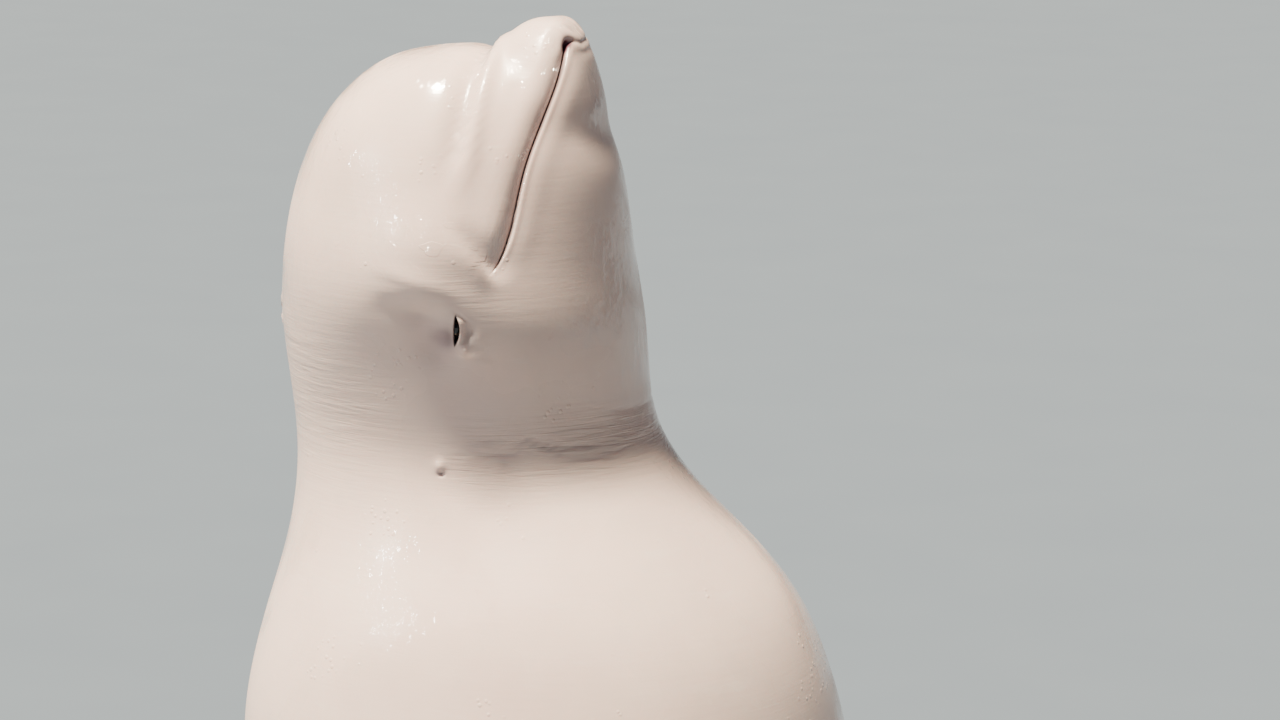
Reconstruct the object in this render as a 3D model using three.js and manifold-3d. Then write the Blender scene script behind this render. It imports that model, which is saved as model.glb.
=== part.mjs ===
// Life-size model of an adult beluga whale, standing upright with its head raised, held by a plain display stand.
// Millimetres, +Z up. The floor is Z = 0, the belly faces +X, the whale's right side faces -Y, and Y = 0 is its mid-plane.
// The whale is drawn straight first: "along" runs from the mouth's front to the tail, "up" points to the back,
// "side" points away from the mid-plane. The spine's curve then bends it into its pose.
import * as THREE from "three";
import { mergeVertices } from "three/addons/utils/BufferGeometryUtils.js";
import Module from "manifold-3d";

const wasm = await Module();
wasm.setup();

// Driving sizes
const GAP = 0.3; // between pieces that meet
const SNOUT_X = 60;
const SNOUT_Z = 3945; // the mouth's front above the floor
const BODY_END = 3950; // along, at the notch between the flukes

// The body's stations, from the mouth's front to the flukes' notch:
// [back along, back up, belly along, belly up, half width]
const STATIONS = [
  [-8, 0, -8, 0, 0],
  [-16, 17, -2, -12, 31],
  [-15, 42, 15, -26, 52],
  [0, 66, 38, -41, 70],
  [27, 90, 60, -54, 87],
  [51, 144, 82, -64, 107],
  [83, 211, 107, -76, 130],
  [122, 249, 137, -96, 150],
  [180, 279, 187, -120, 172],
  [258, 295, 258, -147, 191],
  [345, 294, 340, -174, 203],
  [430, 280, 425, -189, 186],
  [520, 267, 510, -205, 174],
  [610, 285, 600, -244, 206],
  [700, 332, 690, -296, 264],
  [800, 380, 795, -350, 308],
  [1000, 411, 1000, -381, 350],
  [1250, 416, 1250, -392, 373],
  [1550, 408, 1550, -396, 378],
  [1900, 380, 1900, -378, 352],
  [2300, 318, 2300, -326, 285],
  [2700, 249, 2700, -252, 202],
  [3050, 197, 3050, -182, 134],
  [3350, 158, 3350, -126, 90],
  [3600, 114, 3600, -82, 68],
  [3780, 68, 3780, -40, 56],
  [3900, 36, 3900, -10, 42],
  [BODY_END, 13, BODY_END, 13, 0],
];
// Where each section is widest, as a share of its depth from the back: [along, share]
const WIDEST = [
  [-10, 0.57],
  [60, 0.56],
  [200, 0.5],
  [500, 0.51],
  [1500, 0.52],
  [3950, 0.48],
];
// How keeled the back and the belly are, 1 being an ellipse: [along, exponent]
const KEEL = [
  [-10, 0.88],
  [150, 0.92],
  [400, 1],
  [2200, 1.02],
  [3200, 1.3],
  [3700, 1.25],
  [3950, 1],
];
// The level of the mouth, the eye, the ear and the flank line: [along, up]
const FACE_LINE = [
  [-10, 0],
  [15, -8],
  [60, -12],
  [150, -12],
  [268, -13],
  [350, 19],
  [440, 29],
  [531, 33],
  [660, 16],
  [820, -14],
  [1300, -20],
  [2300, -5],
  [3950, 13],
];
// Angle of the spine from the vertical, in degrees, above 0 where going down leads to the belly's side: [along, angle]
const POSTURE = [
  [-20, -14],
  [230, -14],
  [400, -6],
  [560, 4],
  [760, 11],
  [1000, 11.5],
  [1400, 7],
  [1900, -2],
  [2400, -12],
  [2900, -22],
  [3400, -31],
  [3960, -38],
];

const MOUTH_END = 272;
const EYE_ALONG = 350;
const EYE_OPENING = { length: 38, height: 11, depth: 13 };
const EAR_ALONG = 531;
const BLOWHOLE = { along: 398, width: 78, sweep: 20, gap: 4, depth: 16 };
const CUTS = { neck: 588, chest: 770, belly: 1560, tail: 2690 };

// A smooth curve through a list of knots, as a natural cubic spline. Returns a function.
function splineThrough(knots, values) {
  const n = knots.length;
  const bend = new Array(n).fill(0);
  const work = new Array(n).fill(0);
  for (let i = 1; i < n - 1; i++) {
    const before = knots[i] - knots[i - 1];
    const after = knots[i + 1] - knots[i];
    const share = before / (before + after);
    const p = share * bend[i - 1] + 2;
    const slopes = (values[i + 1] - values[i]) / after - (values[i] - values[i - 1]) / before;
    bend[i] = (share - 1) / p;
    work[i] = ((6 * slopes) / (before + after) - share * work[i - 1]) / p;
  }
  for (let i = n - 2; i >= 0; i--) bend[i] = bend[i] * bend[i + 1] + work[i];
  return (x) => {
    let i = 0;
    while (i < n - 2 && x > knots[i + 1]) i++;
    const h = knots[i + 1] - knots[i];
    const a = (knots[i + 1] - x) / h;
    const b = 1 - a;
    const curve = ((a ** 3 - a) * bend[i] + (b ** 3 - b) * bend[i + 1]) * (h * h) / 6;
    return a * values[i] + b * values[i + 1] + curve;
  };
}

// Easing from knot to knot of a profile, for values that have to stay between them.
function easeThrough(profile) {
  return (x) => {
    let i = 0;
    while (i < profile.length - 2 && x > profile[i + 1][0]) i++;
    const [x0, y0] = profile[i];
    const [x1, y1] = profile[i + 1];
    const share = THREE.MathUtils.clamp((x - x0) / (x1 - x0), 0, 1);
    return y0 + (y1 - y0) * share * share * (3 - 2 * share);
  };
}

const bump = (distance, reach) => Math.exp(-((distance / reach) ** 2));
const column = (rows, i) => rows.map((row) => row[i]);

// The ring parameter: the mean distance travelled along the back and the belly.
const RING_AT = [0];
for (let i = 1; i < STATIONS.length; i++) {
  const [a, b] = [STATIONS[i - 1], STATIONS[i]];
  const back = Math.hypot(b[0] - a[0], b[1] - a[1]);
  const belly = Math.hypot(b[2] - a[2], b[3] - a[3]);
  RING_AT.push(RING_AT[i - 1] + (back + belly) / 2);
}
const RING_END = RING_AT[RING_AT.length - 1];

// The back and the belly are one outline that passes smoothly round the snout and round the tail's end.
function outlineThrough(backColumn, bellyColumn) {
  const back = column(STATIONS, backColumn);
  const belly = column(STATIONS, bellyColumn);
  const knots = [...RING_AT.slice(1).reverse().map((t) => -t), ...RING_AT];
  const values = [...belly.slice(1).reverse(), ...back];
  knots.push(2 * RING_END - RING_AT[RING_AT.length - 2]);
  values.push(belly[belly.length - 2]);
  knots.unshift(-knots[knots.length - 1]);
  values.unshift(back[back.length - 2]);
  return splineThrough(knots, values);
}
const outlineAlong = outlineThrough(0, 2);
const outlineUp = outlineThrough(1, 3);
const widthKnots = column(STATIONS, 4);
const halfWidth = splineThrough(
  [...RING_AT.slice(1).reverse().map((t) => -t), ...RING_AT],
  [...widthKnots.slice(1).reverse().map((w) => -w), ...widthKnots],
);
const widest = easeThrough(WIDEST);
const keel = easeThrough(KEEL);
const faceLine = splineThrough(column(FACE_LINE, 0), column(FACE_LINE, 1));
const posture = splineThrough(column(POSTURE, 0), column(POSTURE, 1));

// The spine, in steps of 5 mm from ahead of the snout to behind the flukes.
const SPINE_STEP = 5;
const SPINE_START = -60;
const spine = [{ x: SNOUT_X, z: SNOUT_Z }];
{
  const walk = (from, to, step) => {
    const points = [];
    let [x, z] = [SNOUT_X, SNOUT_Z];
    for (let s = from; step > 0 ? s < to : s > to; s += step) {
      const angle = THREE.MathUtils.degToRad(posture(s + step / 2));
      x += Math.sin(angle) * step;
      z -= Math.cos(angle) * step;
      points.push({ x, z });
    }
    return points;
  };
  spine.unshift(...walk(0, SPINE_START, -SPINE_STEP).reverse());
  spine.push(...walk(0, BODY_END + 250, SPINE_STEP));
}

// A point of the straight whale, in the pose.
function posed(along, up, side) {
  const place = (along - SPINE_START) / SPINE_STEP;
  const i = THREE.MathUtils.clamp(Math.floor(place), 0, spine.length - 2);
  const share = place - i;
  const angle = THREE.MathUtils.degToRad(posture(along));
  const x = spine[i].x + (spine[i + 1].x - spine[i].x) * share;
  const z = spine[i].z + (spine[i + 1].z - spine[i].z) * share;
  return new THREE.Vector3(x - Math.cos(angle) * up, side, z - Math.sin(angle) * up);
}

// The section at ring t: its back and belly points, half width and shape.
function sectionAt(t) {
  const back = [outlineAlong(t), outlineUp(t)];
  const belly = [outlineAlong(-t), outlineUp(-t)];
  const depth = back[1] - belly[1];
  const middle = (back[0] + belly[0]) / 2;
  return { back, belly, depth, middle, half: Math.max(halfWidth(t), 0), share: widest(middle), keel: keel(middle) };
}

// A point of a section, at an angle from 0 at the back to PI at the belly.
function onSection(section, angle) {
  const { back, belly, depth, half, share } = section;
  const cosine = Math.cos(angle);
  const fall = cosine >= 0 ? share * (1 - cosine) : share + (share - 1) * cosine;
  return {
    along: back[0] + (belly[0] - back[0]) * fall,
    up: back[1] - depth * fall,
    side: half * Math.sin(angle) ** section.keel,
  };
}

// The angle at which a section reaches the face line.
function faceAngle(section) {
  if (section.depth < 1) return Math.PI / 2;
  const middleRow = section.back[0] + (section.belly[0] - section.back[0]) * 0.5;
  const fall = THREE.MathUtils.clamp((section.back[1] - faceLine(middleRow)) / section.depth, 0.1, 0.9);
  const cosine = fall <= section.share ? 1 - fall / section.share : (section.share - fall) / (1 - section.share);
  return Math.acos(THREE.MathUtils.clamp(cosine, -1, 1));
}

// What the soft tissue adds to the plain sections, in mm outwards.
function relief(point) {
  const { along, up, side } = point;
  const fromMouth = Math.abs(up - faceLine(along));
  const mouth = 1 - THREE.MathUtils.smoothstep(along, MOUTH_END - 22, MOUTH_END + 4);
  const front = 1 - THREE.MathUtils.smoothstep(along, 6, 40);
  const lips = mouth * ((3 * front - 7) * bump(fromMouth, 3.2) + 3 * bump(fromMouth - 13, 9));
  const recess = -3 * bump(fromMouth, 5) * front;
  const brow = 16 * bump(Math.hypot(along - 268, (up - 74) * 0.85), 54);
  const grooveLevel = Math.max(66, 94 - 0.19 * along);
  const groove = -7 * bump(up - grooveLevel - 6, 18) * (1 - THREE.MathUtils.smoothstep(along, 60, 190))
    * THREE.MathUtils.smoothstep(along, 5, 40);
  const behindEye = -8 * bump(Math.hypot(along - 398, (up - 88) * 0.8), 52);
  const eyeMound = 5 * bump(Math.hypot(along - EYE_ALONG, (up - faceLine(EYE_ALONG)) * 1.2), 34);
  const cheekFold = -6 * bump(Math.hypot((along - 250) / 1.6, up - 24), 16) * (side > 60 ? 1 : 0);
  const blowhole = 4.5 * bump(Math.hypot(along - BLOWHOLE.along, side), 52) * (up > 200 ? 1 : 0);
  return lips + recess + brow + groove + behindEye + eyeMound + cheekFold + blowhole;
}

// Columns of a ring, from the back round the side to the belly, closer near the face line: offsets in mm from it.
const NEAR_FACE = [4, 10, 19];
const UPPER_COLUMNS = 9;
const LOWER_COLUMNS = 8;
function sideAngles(section) {
  const line = faceAngle(section);
  const reach = Math.max((section.depth + 2 * section.half) / 4, 1);
  const squeeze = Math.min(1, reach / 45);
  const near = NEAR_FACE.map((mm) => (mm * squeeze) / reach);
  const last = near[near.length - 1];
  const angles = [];
  for (let i = 0; i < UPPER_COLUMNS; i++) angles.push((line - last) * (i / UPPER_COLUMNS));
  angles.push(...near.toReversed().map((a) => line - a), line, ...near.map((a) => line + a));
  for (let i = 1; i <= LOWER_COLUMNS; i++) angles.push(line + last + (Math.PI - line - last) * (i / LOWER_COLUMNS));
  return angles;
}

// Distance between rings along the body, in mm.
const RING_STEP = easeThrough([
  [0, 8],
  [60, 12],
  [330, 23],
  [620, 26],
  [760, 32],
  [1100, 85],
  [2600, 120],
  [3600, 105],
  [4100, 45],
]);
const RINGS = [];
for (let t = RING_STEP(0); t < RING_END - 16; t += RING_STEP(t)) RINGS.push(t);

// A ring of the body's surface, moved outwards by swell.
function bodyRing(t, swell) {
  const section = sectionAt(t);
  const angles = sideAngles(section);
  const ring = [];
  const add = (angle, hand) => {
    const point = onSection(section, angle);
    const small = 0.01;
    const before = onSection(section, Math.max(angle - small, 0));
    const after = onSection(section, Math.min(angle + small, Math.PI));
    const next = onSection(sectionAt(Math.min(t + 4, RING_END)), angle);
    const prior = onSection(sectionAt(Math.max(t - 4, 0)), angle);
    const round = new THREE.Vector3(after.along - before.along, after.up - before.up, after.side - before.side);
    const length = new THREE.Vector3(next.along - prior.along, next.up - prior.up, next.side - prior.side);
    const out = round.cross(length);
    if (angle < small || angle > Math.PI - small) out.z = 0;
    out.normalize();
    const lift = relief(point) + swell;
    ring.push(
      posed(point.along + out.x * lift, point.up + out.y * lift, hand * Math.max(point.side + out.z * lift, 0)),
    );
  };
  angles.forEach((angle) => add(angle, 1));
  angles.slice(1, -1).toReversed().forEach((angle) => add(angle, -1));
  return ring;
}

// A closed solid through rings of points. A ring of one point is a tip, and other ends are closed by a fan.
function loft(rings) {
  const vertices = [];
  const starts = rings.map((ring) => {
    const start = vertices.length / 3;
    ring.forEach((p) => vertices.push(p.x, p.y, p.z));
    return start;
  });
  const faces = [];
  for (let k = 0; k + 1 < rings.length; k++) {
    const [a, b] = [rings[k], rings[k + 1]];
    const count = Math.max(a.length, b.length);
    for (let i = 0; i < count; i++) {
      const j = (i + 1) % count;
      const [p, q] = [starts[k], starts[k + 1]];
      if (a.length === 1) faces.push(p, q + i, q + j);
      else if (b.length === 1) faces.push(p + i, q, p + j);
      else if ((i * 2 < count)) faces.push(p + i, q + i, q + j, p + i, q + j, p + j);
      else faces.push(p + i, q + i, p + j, q + i, q + j, p + j);
    }
  }
  const close = (k, flip) => {
    const ring = rings[k];
    if (ring.length === 1) return;
    const centre = ring.reduce((sum, p) => sum.add(p), new THREE.Vector3()).divideScalar(ring.length);
    vertices.push(centre.x, centre.y, centre.z);
    const hub = vertices.length / 3 - 1;
    for (let i = 0; i < ring.length; i++) {
      const [u, v] = [starts[k] + i, starts[k] + ((i + 1) % ring.length)];
      faces.push(hub, flip ? v : u, flip ? u : v);
    }
  };
  close(0, false);
  close(rings.length - 1, true);
  return solidOf(new Float32Array(vertices), new Uint32Array(faces));
}

function solidOf(vertProperties, triVerts) {
  const made = new wasm.Manifold(new wasm.Mesh({ numProp: 3, vertProperties, triVerts }));
  if (made.volume() > 0) return made;
  for (let i = 0; i < triVerts.length; i += 3) {
    [triVerts[i + 1], triVerts[i + 2]] = [triVerts[i + 2], triVerts[i + 1]];
  }
  return new wasm.Manifold(new wasm.Mesh({ numProp: 3, vertProperties, triVerts }));
}

// A three.js geometry as a solid, in place.
function solidFrom(geometry, place = new THREE.Matrix4()) {
  const bare = new THREE.BufferGeometry().setAttribute("position", geometry.getAttribute("position").clone());
  if (geometry.index) bare.setIndex(geometry.index.clone());
  bare.applyMatrix4(place);
  const merged = mergeVertices(bare, 1e-3);
  return solidOf(merged.getAttribute("position").array, new Uint32Array(merged.index.array));
}

const largest = (solid) => solid.decompose().sort((a, b) => b.volume() - a.volume())[0];

// The whole body as one solid, from the lips to the end of the tail stock.
function bodySolid(swell) {
  const tip = (along, up, out) => [posed(along + out, up, 0)];
  const first = tip(STATIONS[0][0] - relief({ along: STATIONS[0][0], up: 0, side: 0 }), 0, -swell);
  const last = tip(BODY_END, STATIONS[STATIONS.length - 1][1], swell);
  return loft([first, ...RINGS.map((t) => bodyRing(t, swell)), last]);
}
const body = bodySolid(0);
const clearOfBody = bodySolid(GAP);

// The plane across the spine at a place along it, as a normal that points to the tail and its distance.
function crossPlane(along) {
  const angle = THREE.MathUtils.degToRad(posture(along));
  const normal = [Math.sin(angle), 0, -Math.cos(angle)];
  const point = posed(along, 0, 0);
  return { normal, distance: normal[0] * point.x + normal[2] * point.z };
}
const behind = (solid, along) => {
  const { normal, distance } = crossPlane(along);
  return solid.trimByPlane(normal, distance + GAP / 2);
};
const ahead = (solid, along) => {
  const { normal, distance } = crossPlane(along);
  return solid.trimByPlane(normal.map((n) => -n), GAP / 2 - distance);
};

// All that lies below the mouth line and ahead of its corner, as a block across the head.
function jawBlock(widen) {
  const outline = [];
  for (let along = -50; along <= MOUTH_END + 14; along += 8) {
    outline.push(posed(along - widen, faceLine(Math.max(along, -10)) + widen, 0));
  }
  const corner = MOUTH_END + 14 + widen;
  outline.push(posed(corner, faceLine(corner) + widen, 0));
  outline.push(posed(corner + 26, -90, 0), posed(corner + 40, -420, 0), posed(-50 - widen, -420, 0));
  const shape = new THREE.Shape(outline.map((p) => new THREE.Vector2(p.x, p.z)));
  const block = new THREE.ExtrudeGeometry(shape, { depth: 900, bevelEnabled: false });
  return solidFrom(block, new THREE.Matrix4().makeTranslation(0, 0, -450).premultiply(
    new THREE.Matrix4().makeRotationX(Math.PI / 2),
  ));
}

// The ring parameter at a place along the face line.
function ringAt(along) {
  let [low, high] = [0, RING_END];
  for (let i = 0; i < 40; i++) {
    const t = (low + high) / 2;
    const section = sectionAt(t);
    if (onSection(section, faceAngle(section)).along < along) low = t;
    else high = t;
  }
  return (low + high) / 2;
}

// A frame on the skin: its place, the way out of the skin, the way to the tail, and the way to the back.
function skinFrame(t, angle, hand) {
  const at = (ring, turn) => {
    const p = onSection(sectionAt(ring), turn);
    return posed(p.along, p.up, hand * p.side);
  };
  const place = at(t, angle);
  const tailward = at(t + 3, angle).sub(at(t - 3, angle)).normalize();
  const backward = at(t, angle - 0.02).sub(at(t, angle + 0.02)).normalize();
  const out = new THREE.Vector3().crossVectors(tailward, backward).normalize();
  if (out.y * hand < 0 && Math.abs(out.y) > 0.2) out.negate();
  const across = backward.clone().addScaledVector(tailward, -backward.dot(tailward)).normalize();
  const lift = relief(onSection(sectionAt(t), angle));
  place.addScaledVector(out, lift);
  return { place, out, tailward, across };
}

// An ellipsoid in a skin frame, with semi-axes towards the tail, across and outwards.
function ellipsoid(frame, tail, across, out, sunk) {
  const axes = [frame.tailward, frame.across, frame.out].map((axis, i) =>
    axis.clone().multiplyScalar([tail, across, out][i]),
  );
  const matrix = new THREE.Matrix4().makeBasis(...axes);
  matrix.setPosition(frame.place.clone().addScaledVector(frame.out, -sunk));
  return solidFrom(new THREE.SphereGeometry(1, 16, 8), matrix);
}

// One eyelid: a tapered roll that arches over the opening, towards the back (1) or the belly (-1).
function eyelid(frame, towards) {
  const steps = 9;
  const sides = 6;
  const half = EYE_OPENING.length / 2 + 8;
  const rings = [];
  for (let i = 0; i <= steps; i++) {
    const x = -half + (2 * half * i) / steps;
    const arch = Math.sqrt(Math.max(1 - (x / half) ** 2, 0));
    const across = towards * (EYE_OPENING.height / 2 + 5) * arch;
    const radius = 1.5 + 6.5 * arch;
    const centre = frame.place.clone().addScaledVector(frame.tailward, x).addScaledVector(frame.across, across);
    centre.addScaledVector(frame.out, -0.5 - x * x * 0.002 - 1.5 * (1 - arch));
    rings.push(Array.from({ length: sides }, (_, k) => {
      const turn = (2 * Math.PI * k) / sides;
      return centre.clone().addScaledVector(frame.across, radius * Math.cos(turn))
        .addScaledVector(frame.out, 0.8 * radius * Math.sin(turn));
    }));
  }
  return loft(rings);
}

// The blowhole: a crescent slit whose horns point forwards, cut into the top of the head.
function blowholeSlit() {
  const steps = 14;
  const rings = [];
  for (let i = 0; i <= steps; i++) {
    const share = (2 * i) / steps - 1;
    const side = (share * BLOWHOLE.width) / 2;
    const along = BLOWHOLE.along + BLOWHOLE.sweep * (0.5 - share * share);
    const gap = (BLOWHOLE.gap / 2) * (1.15 - share * share);
    const top = 330;
    const floor = outlineUp(BLOWHOLE.along + 60) - BLOWHOLE.depth + 8 * share * share;
    rings.push([
      posed(along - gap, top, side),
      posed(along + gap, top, side),
      posed(along + gap, floor, side),
      posed(along - gap, floor, side),
    ]);
  }
  return loft(rings);
}

// A fin: sections between a leading and a trailing edge, drawn on a plan and set in a frame.
// thickness(share) is its full thickness, lift(share) its curve out of the plan.
function fin({ leading, trailing, thickness, lift, place, spans = 16, chords = 11 }) {
  const rings = [];
  for (let i = 0; i < spans; i++) {
    const share = 1 - (1 - i / spans) ** 1.35;
    const front = leading.getPoint(share);
    const rear = trailing.getPoint(share);
    const full = thickness(share);
    const across = (k) => (1 - Math.cos((Math.PI * k) / chords)) / 2;
    const half = (x) => full * (1.35 * Math.sqrt(x) * (1 - x) ** 0.9) + 1.6 * Math.sqrt(x);
    const at = (x, face) => {
      const p = front.clone().lerp(rear, x);
      return place(p.x, p.y, lift(share) + face * half(x));
    };
    const ring = [];
    for (let k = 0; k <= chords; k++) ring.push(at(across(k), 1));
    for (let k = chords; k > 0; k--) ring.push(at(across(k), -1));
    rings.push(ring);
  }
  const tip = leading.getPoint(1);
  rings.push([place(tip.x, tip.y, lift(1))]);
  return loft(rings);
}

const plan = (...points) => new THREE.CubicBezierCurve(...points.map(([x, y]) => new THREE.Vector2(x, y)));

// Flukes: plan x is sideways, y is along the body.
const FLUKE = {
  leading: plan([0, 3548], [165, 3640], [425, 3760], [478, 3972]),
  trailing: plan([0, 3962], [50, 4075], [335, 4085], [478, 3972]),
  thickness: (share) => 54 * (1 - share) ** 1.15 + 7,
  lift: (share) => 13 + 34 * share ** 2,
};
function fluke(hand) {
  const whole = fin({ ...FLUKE, place: (x, y, z) => posed(y, z, hand * x), spans: 13, chords: 9 });
  const half = whole.trimByPlane([0, hand, 0], GAP / 2);
  return largest(half.subtract(clearOfBody));
}

// Flippers: plan x runs out along the flipper, y from its leading to its trailing edge.
const FLIPPER = {
  along: 990,
  angle: THREE.MathUtils.degToRad(115),
  leading: plan([-90, -96], [95, -168], [395, -150], [472, 22]),
  trailing: plan([-90, 92], [110, 150], [420, 205], [472, 22]),
  thickness: (share) => 58 * (1 - share) ** 0.9 + 11,
  lift: (share) => 30 * share ** 3,
  reach: [0.66, -0.22, 0.72], // the way it points: along, up and side
  pitch: THREE.MathUtils.degToRad(-12),
};
function flipper(hand) {
  const t = ringAt(FLIPPER.along);
  const root = onSection(sectionAt(t), FLIPPER.angle);
  const out = new THREE.Vector3(...FLIPPER.reach).normalize();
  const chord = new THREE.Vector3(1, 0, 0).addScaledVector(out, -out.x).normalize();
  chord.applyAxisAngle(out, FLIPPER.pitch);
  const face = new THREE.Vector3().crossVectors(out, chord).normalize();
  if (face.y < 0) face.negate();
  const place = (x, y, z) => {
    const p = new THREE.Vector3(root.along, root.up, root.side);
    p.addScaledVector(out, x).addScaledVector(chord, y).addScaledVector(face, z);
    return posed(p.x, p.y, hand * p.z);
  };
  return largest(fin({ ...FLIPPER, place, spans: 13, chords: 8 }).subtract(clearOfBody));
}

// The dorsal ridge: a low, notched crest of tough skin along the middle of the back.
const RIDGE = { from: 1960, to: 2590, height: 30, half: 30, lobes: 9, sunk: 24 };
function dorsalRidge() {
  const steps = RIDGE.lobes * 4;
  const rings = [];
  for (let i = 0; i <= steps; i++) {
    const share = i / steps;
    const along = RIDGE.from + (RIDGE.to - RIDGE.from) * share;
    const swell = Math.sin(Math.PI * share) ** 0.6;
    const lobe = 0.8 + 0.2 * Math.abs(Math.sin(Math.PI * RIDGE.lobes * share));
    const height = RIDGE.height * swell * lobe;
    const back = backAt(along);
    rings.push([
      [RIDGE.half * 1.25, -RIDGE.sunk],
      [RIDGE.half, -4],
      [RIDGE.half * 0.5, height * 0.5],
      [0, height],
      [-RIDGE.half * 0.5, height * 0.5],
      [-RIDGE.half, -4],
      [-RIDGE.half * 1.25, -RIDGE.sunk],
    ].map(([side, up]) => posed(along, back + up, side * (0.35 + 0.65 * swell))));
  }
  return largest(loft(rings).subtract(clearOfBody));
}

function backAt(along) {
  let [low, high] = [0, RING_END];
  for (let i = 0; i < 40; i++) {
    const t = (low + high) / 2;
    if (outlineAlong(t) < along) low = t;
    else high = t;
  }
  return outlineUp(low);
}

// Stand
const BASE = { length: 1900, width: 1400, thickness: 50, corner: 130, bevel: 8 };
const ROD_RADIUS = 30;
const PAD = { radius: 88, thickness: 14 };
const FLANGE = { radius: 100, thickness: 14, bolts: 6, boltCircle: 72, boltRadius: 9, boltHeight: 8 };
const RODS = { front: 2260, rear: 3060 }; // where each rod meets the belly, along the body

function standBase() {
  const { length, width, thickness, corner, bevel } = BASE;
  const [x, y] = [length / 2 - bevel, width / 2 - bevel];
  const r = corner - bevel;
  const shape = new THREE.Shape();
  shape.absarc(x - r, y - r, r, 0, Math.PI / 2);
  shape.absarc(r - x, y - r, r, Math.PI / 2, Math.PI);
  shape.absarc(r - x, r - y, r, Math.PI, 1.5 * Math.PI);
  shape.absarc(x - r, r - y, r, 1.5 * Math.PI, 2 * Math.PI);
  const slab = new THREE.ExtrudeGeometry(shape, {
    depth: thickness - 2 * bevel, bevelSize: bevel, bevelThickness: bevel, bevelSegments: 1, curveSegments: 7,
  });
  return solidFrom(slab, new THREE.Matrix4().makeTranslation(0, 0, bevel));
}

// Where the belly's underside is, and which way it faces, at a place along the body.
function bellyFrame(along) {
  let [low, high] = [0, RING_END];
  for (let i = 0; i < 40; i++) {
    const t = (low + high) / 2;
    if (outlineAlong(-t) < along) low = t;
    else high = t;
  }
  const at = (t) => posed(outlineAlong(-t), outlineUp(-t), 0);
  const place = at(low);
  const tailward = at(low + 5).sub(at(low - 5)).normalize();
  return { place, out: new THREE.Vector3(-tailward.z, 0, tailward.x) };
}

const upright = new THREE.Matrix4().makeRotationX(Math.PI / 2);
const clearOfPads = bodySolid(PAD.thickness + GAP);
const padOuter = bodySolid(PAD.thickness);
function rod(along) {
  const { place } = bellyFrame(along);
  const foot = BASE.thickness + GAP;
  const length = place.z + 260 - foot;
  const bar = new THREE.CylinderGeometry(ROD_RADIUS, ROD_RADIUS, length, 28);
  const stood = solidFrom(bar, new THREE.Matrix4().makeTranslation(place.x, 0, foot + length / 2).multiply(upright));
  const parts = stood.subtract(clearOfPads).decompose();
  return parts.sort((a, b) => a.boundingBox().min[2] - b.boundingBox().min[2])[0];
}

// A curved pad that carries the body on the rod's top.
function pad(along) {
  const { place, out } = bellyFrame(along);
  const turn = new THREE.Quaternion().setFromUnitVectors(new THREE.Vector3(0, 1, 0), out);
  const disc = new THREE.CylinderGeometry(PAD.radius, PAD.radius, 120, 28);
  const matrix = new THREE.Matrix4().compose(place, turn, new THREE.Vector3(1.25, 1, 1));
  return largest(solidFrom(disc, matrix).intersect(padOuter).subtract(clearOfBody));
}

function flange(along) {
  const { place } = bellyFrame(along);
  const inner = ROD_RADIUS + GAP;
  const { radius, thickness } = FLANGE;
  const profile = [[inner, 0], [radius, 0], [radius, thickness - 3], [radius - 3, thickness], [inner + 14, thickness],
    [inner + 9, thickness + 16], [inner, thickness + 16], [inner, 0]];
  const ring = new THREE.LatheGeometry(profile.map(([x, y]) => new THREE.Vector2(x, y)), 28);
  const place2 = new THREE.Matrix4().makeTranslation(place.x, 0, BASE.thickness + GAP);
  let made = solidFrom(ring, place2.clone().multiply(upright));
  for (let i = 0; i < FLANGE.bolts; i++) {
    const turn = (2 * Math.PI * (i + 0.5)) / FLANGE.bolts;
    const head = new THREE.CylinderGeometry(FLANGE.boltRadius, FLANGE.boltRadius, FLANGE.boltHeight + 6, 6);
    const spot = new THREE.Matrix4().makeTranslation(
      place.x + FLANGE.boltCircle * Math.cos(turn),
      FLANGE.boltCircle * Math.sin(turn),
      BASE.thickness + GAP + thickness + (FLANGE.boltHeight - 6) / 2,
    );
    made = made.add(solidFrom(head, spot.multiply(upright)));
  }
  return made;
}

// The head with its eyes, lids, ears and blowhole, and the lower jaw
function headPieces() {
  const whole = ahead(body, CUTS.neck);
  const jaw = largest(whole.intersect(jawBlock(0)));
  let head = whole.subtract(jawBlock(GAP)).subtract(blowholeSlit());
  const eyes = {};
  const eyeRing = ringAt(EYE_ALONG);
  const earRing = ringAt(EAR_ALONG);
  for (const [name, hand] of [["right", -1], ["left", 1]]) {
    const frame = skinFrame(eyeRing, faceAngle(sectionAt(eyeRing)), hand);
    const { length, height, depth } = EYE_OPENING;
    head = head.add(eyelid(frame, 1)).add(eyelid(frame, -1));
    head = head.subtract(ellipsoid(frame, length / 2, height / 2, depth, 1));
    const ball = ellipsoid(frame, 21, 21, 21, 22.5);
    eyes[name] = largest(ball.intersect(ellipsoid(frame, length / 2 - GAP, height / 2 - GAP, depth - GAP, 1)));
    const ear = skinFrame(earRing, faceAngle(sectionAt(earRing)), hand);
    head = head.add(ellipsoid(ear, 12, 10, 5, 1.5)).subtract(ellipsoid(ear, 1.8, 3.2, 9, -1));
  }
  return { head: largest(head), jaw, eyes };
}

// Materials
const skin = new THREE.MeshStandardMaterial({ color: 0xe9dfd5, roughness: 0.38, metalness: 0 });
const wetDark = new THREE.MeshStandardMaterial({ color: 0x1c1512, roughness: 0.08, metalness: 0 });
const paint = new THREE.MeshStandardMaterial({ color: 0x3a4148, roughness: 0.55, metalness: 0 });
const steel = new THREE.MeshStandardMaterial({ color: 0xb4b7ba, roughness: 0.3, metalness: 1 });
const felt = new THREE.MeshStandardMaterial({ color: 0x4a4c4e, roughness: 0.9, metalness: 0 });

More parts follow.
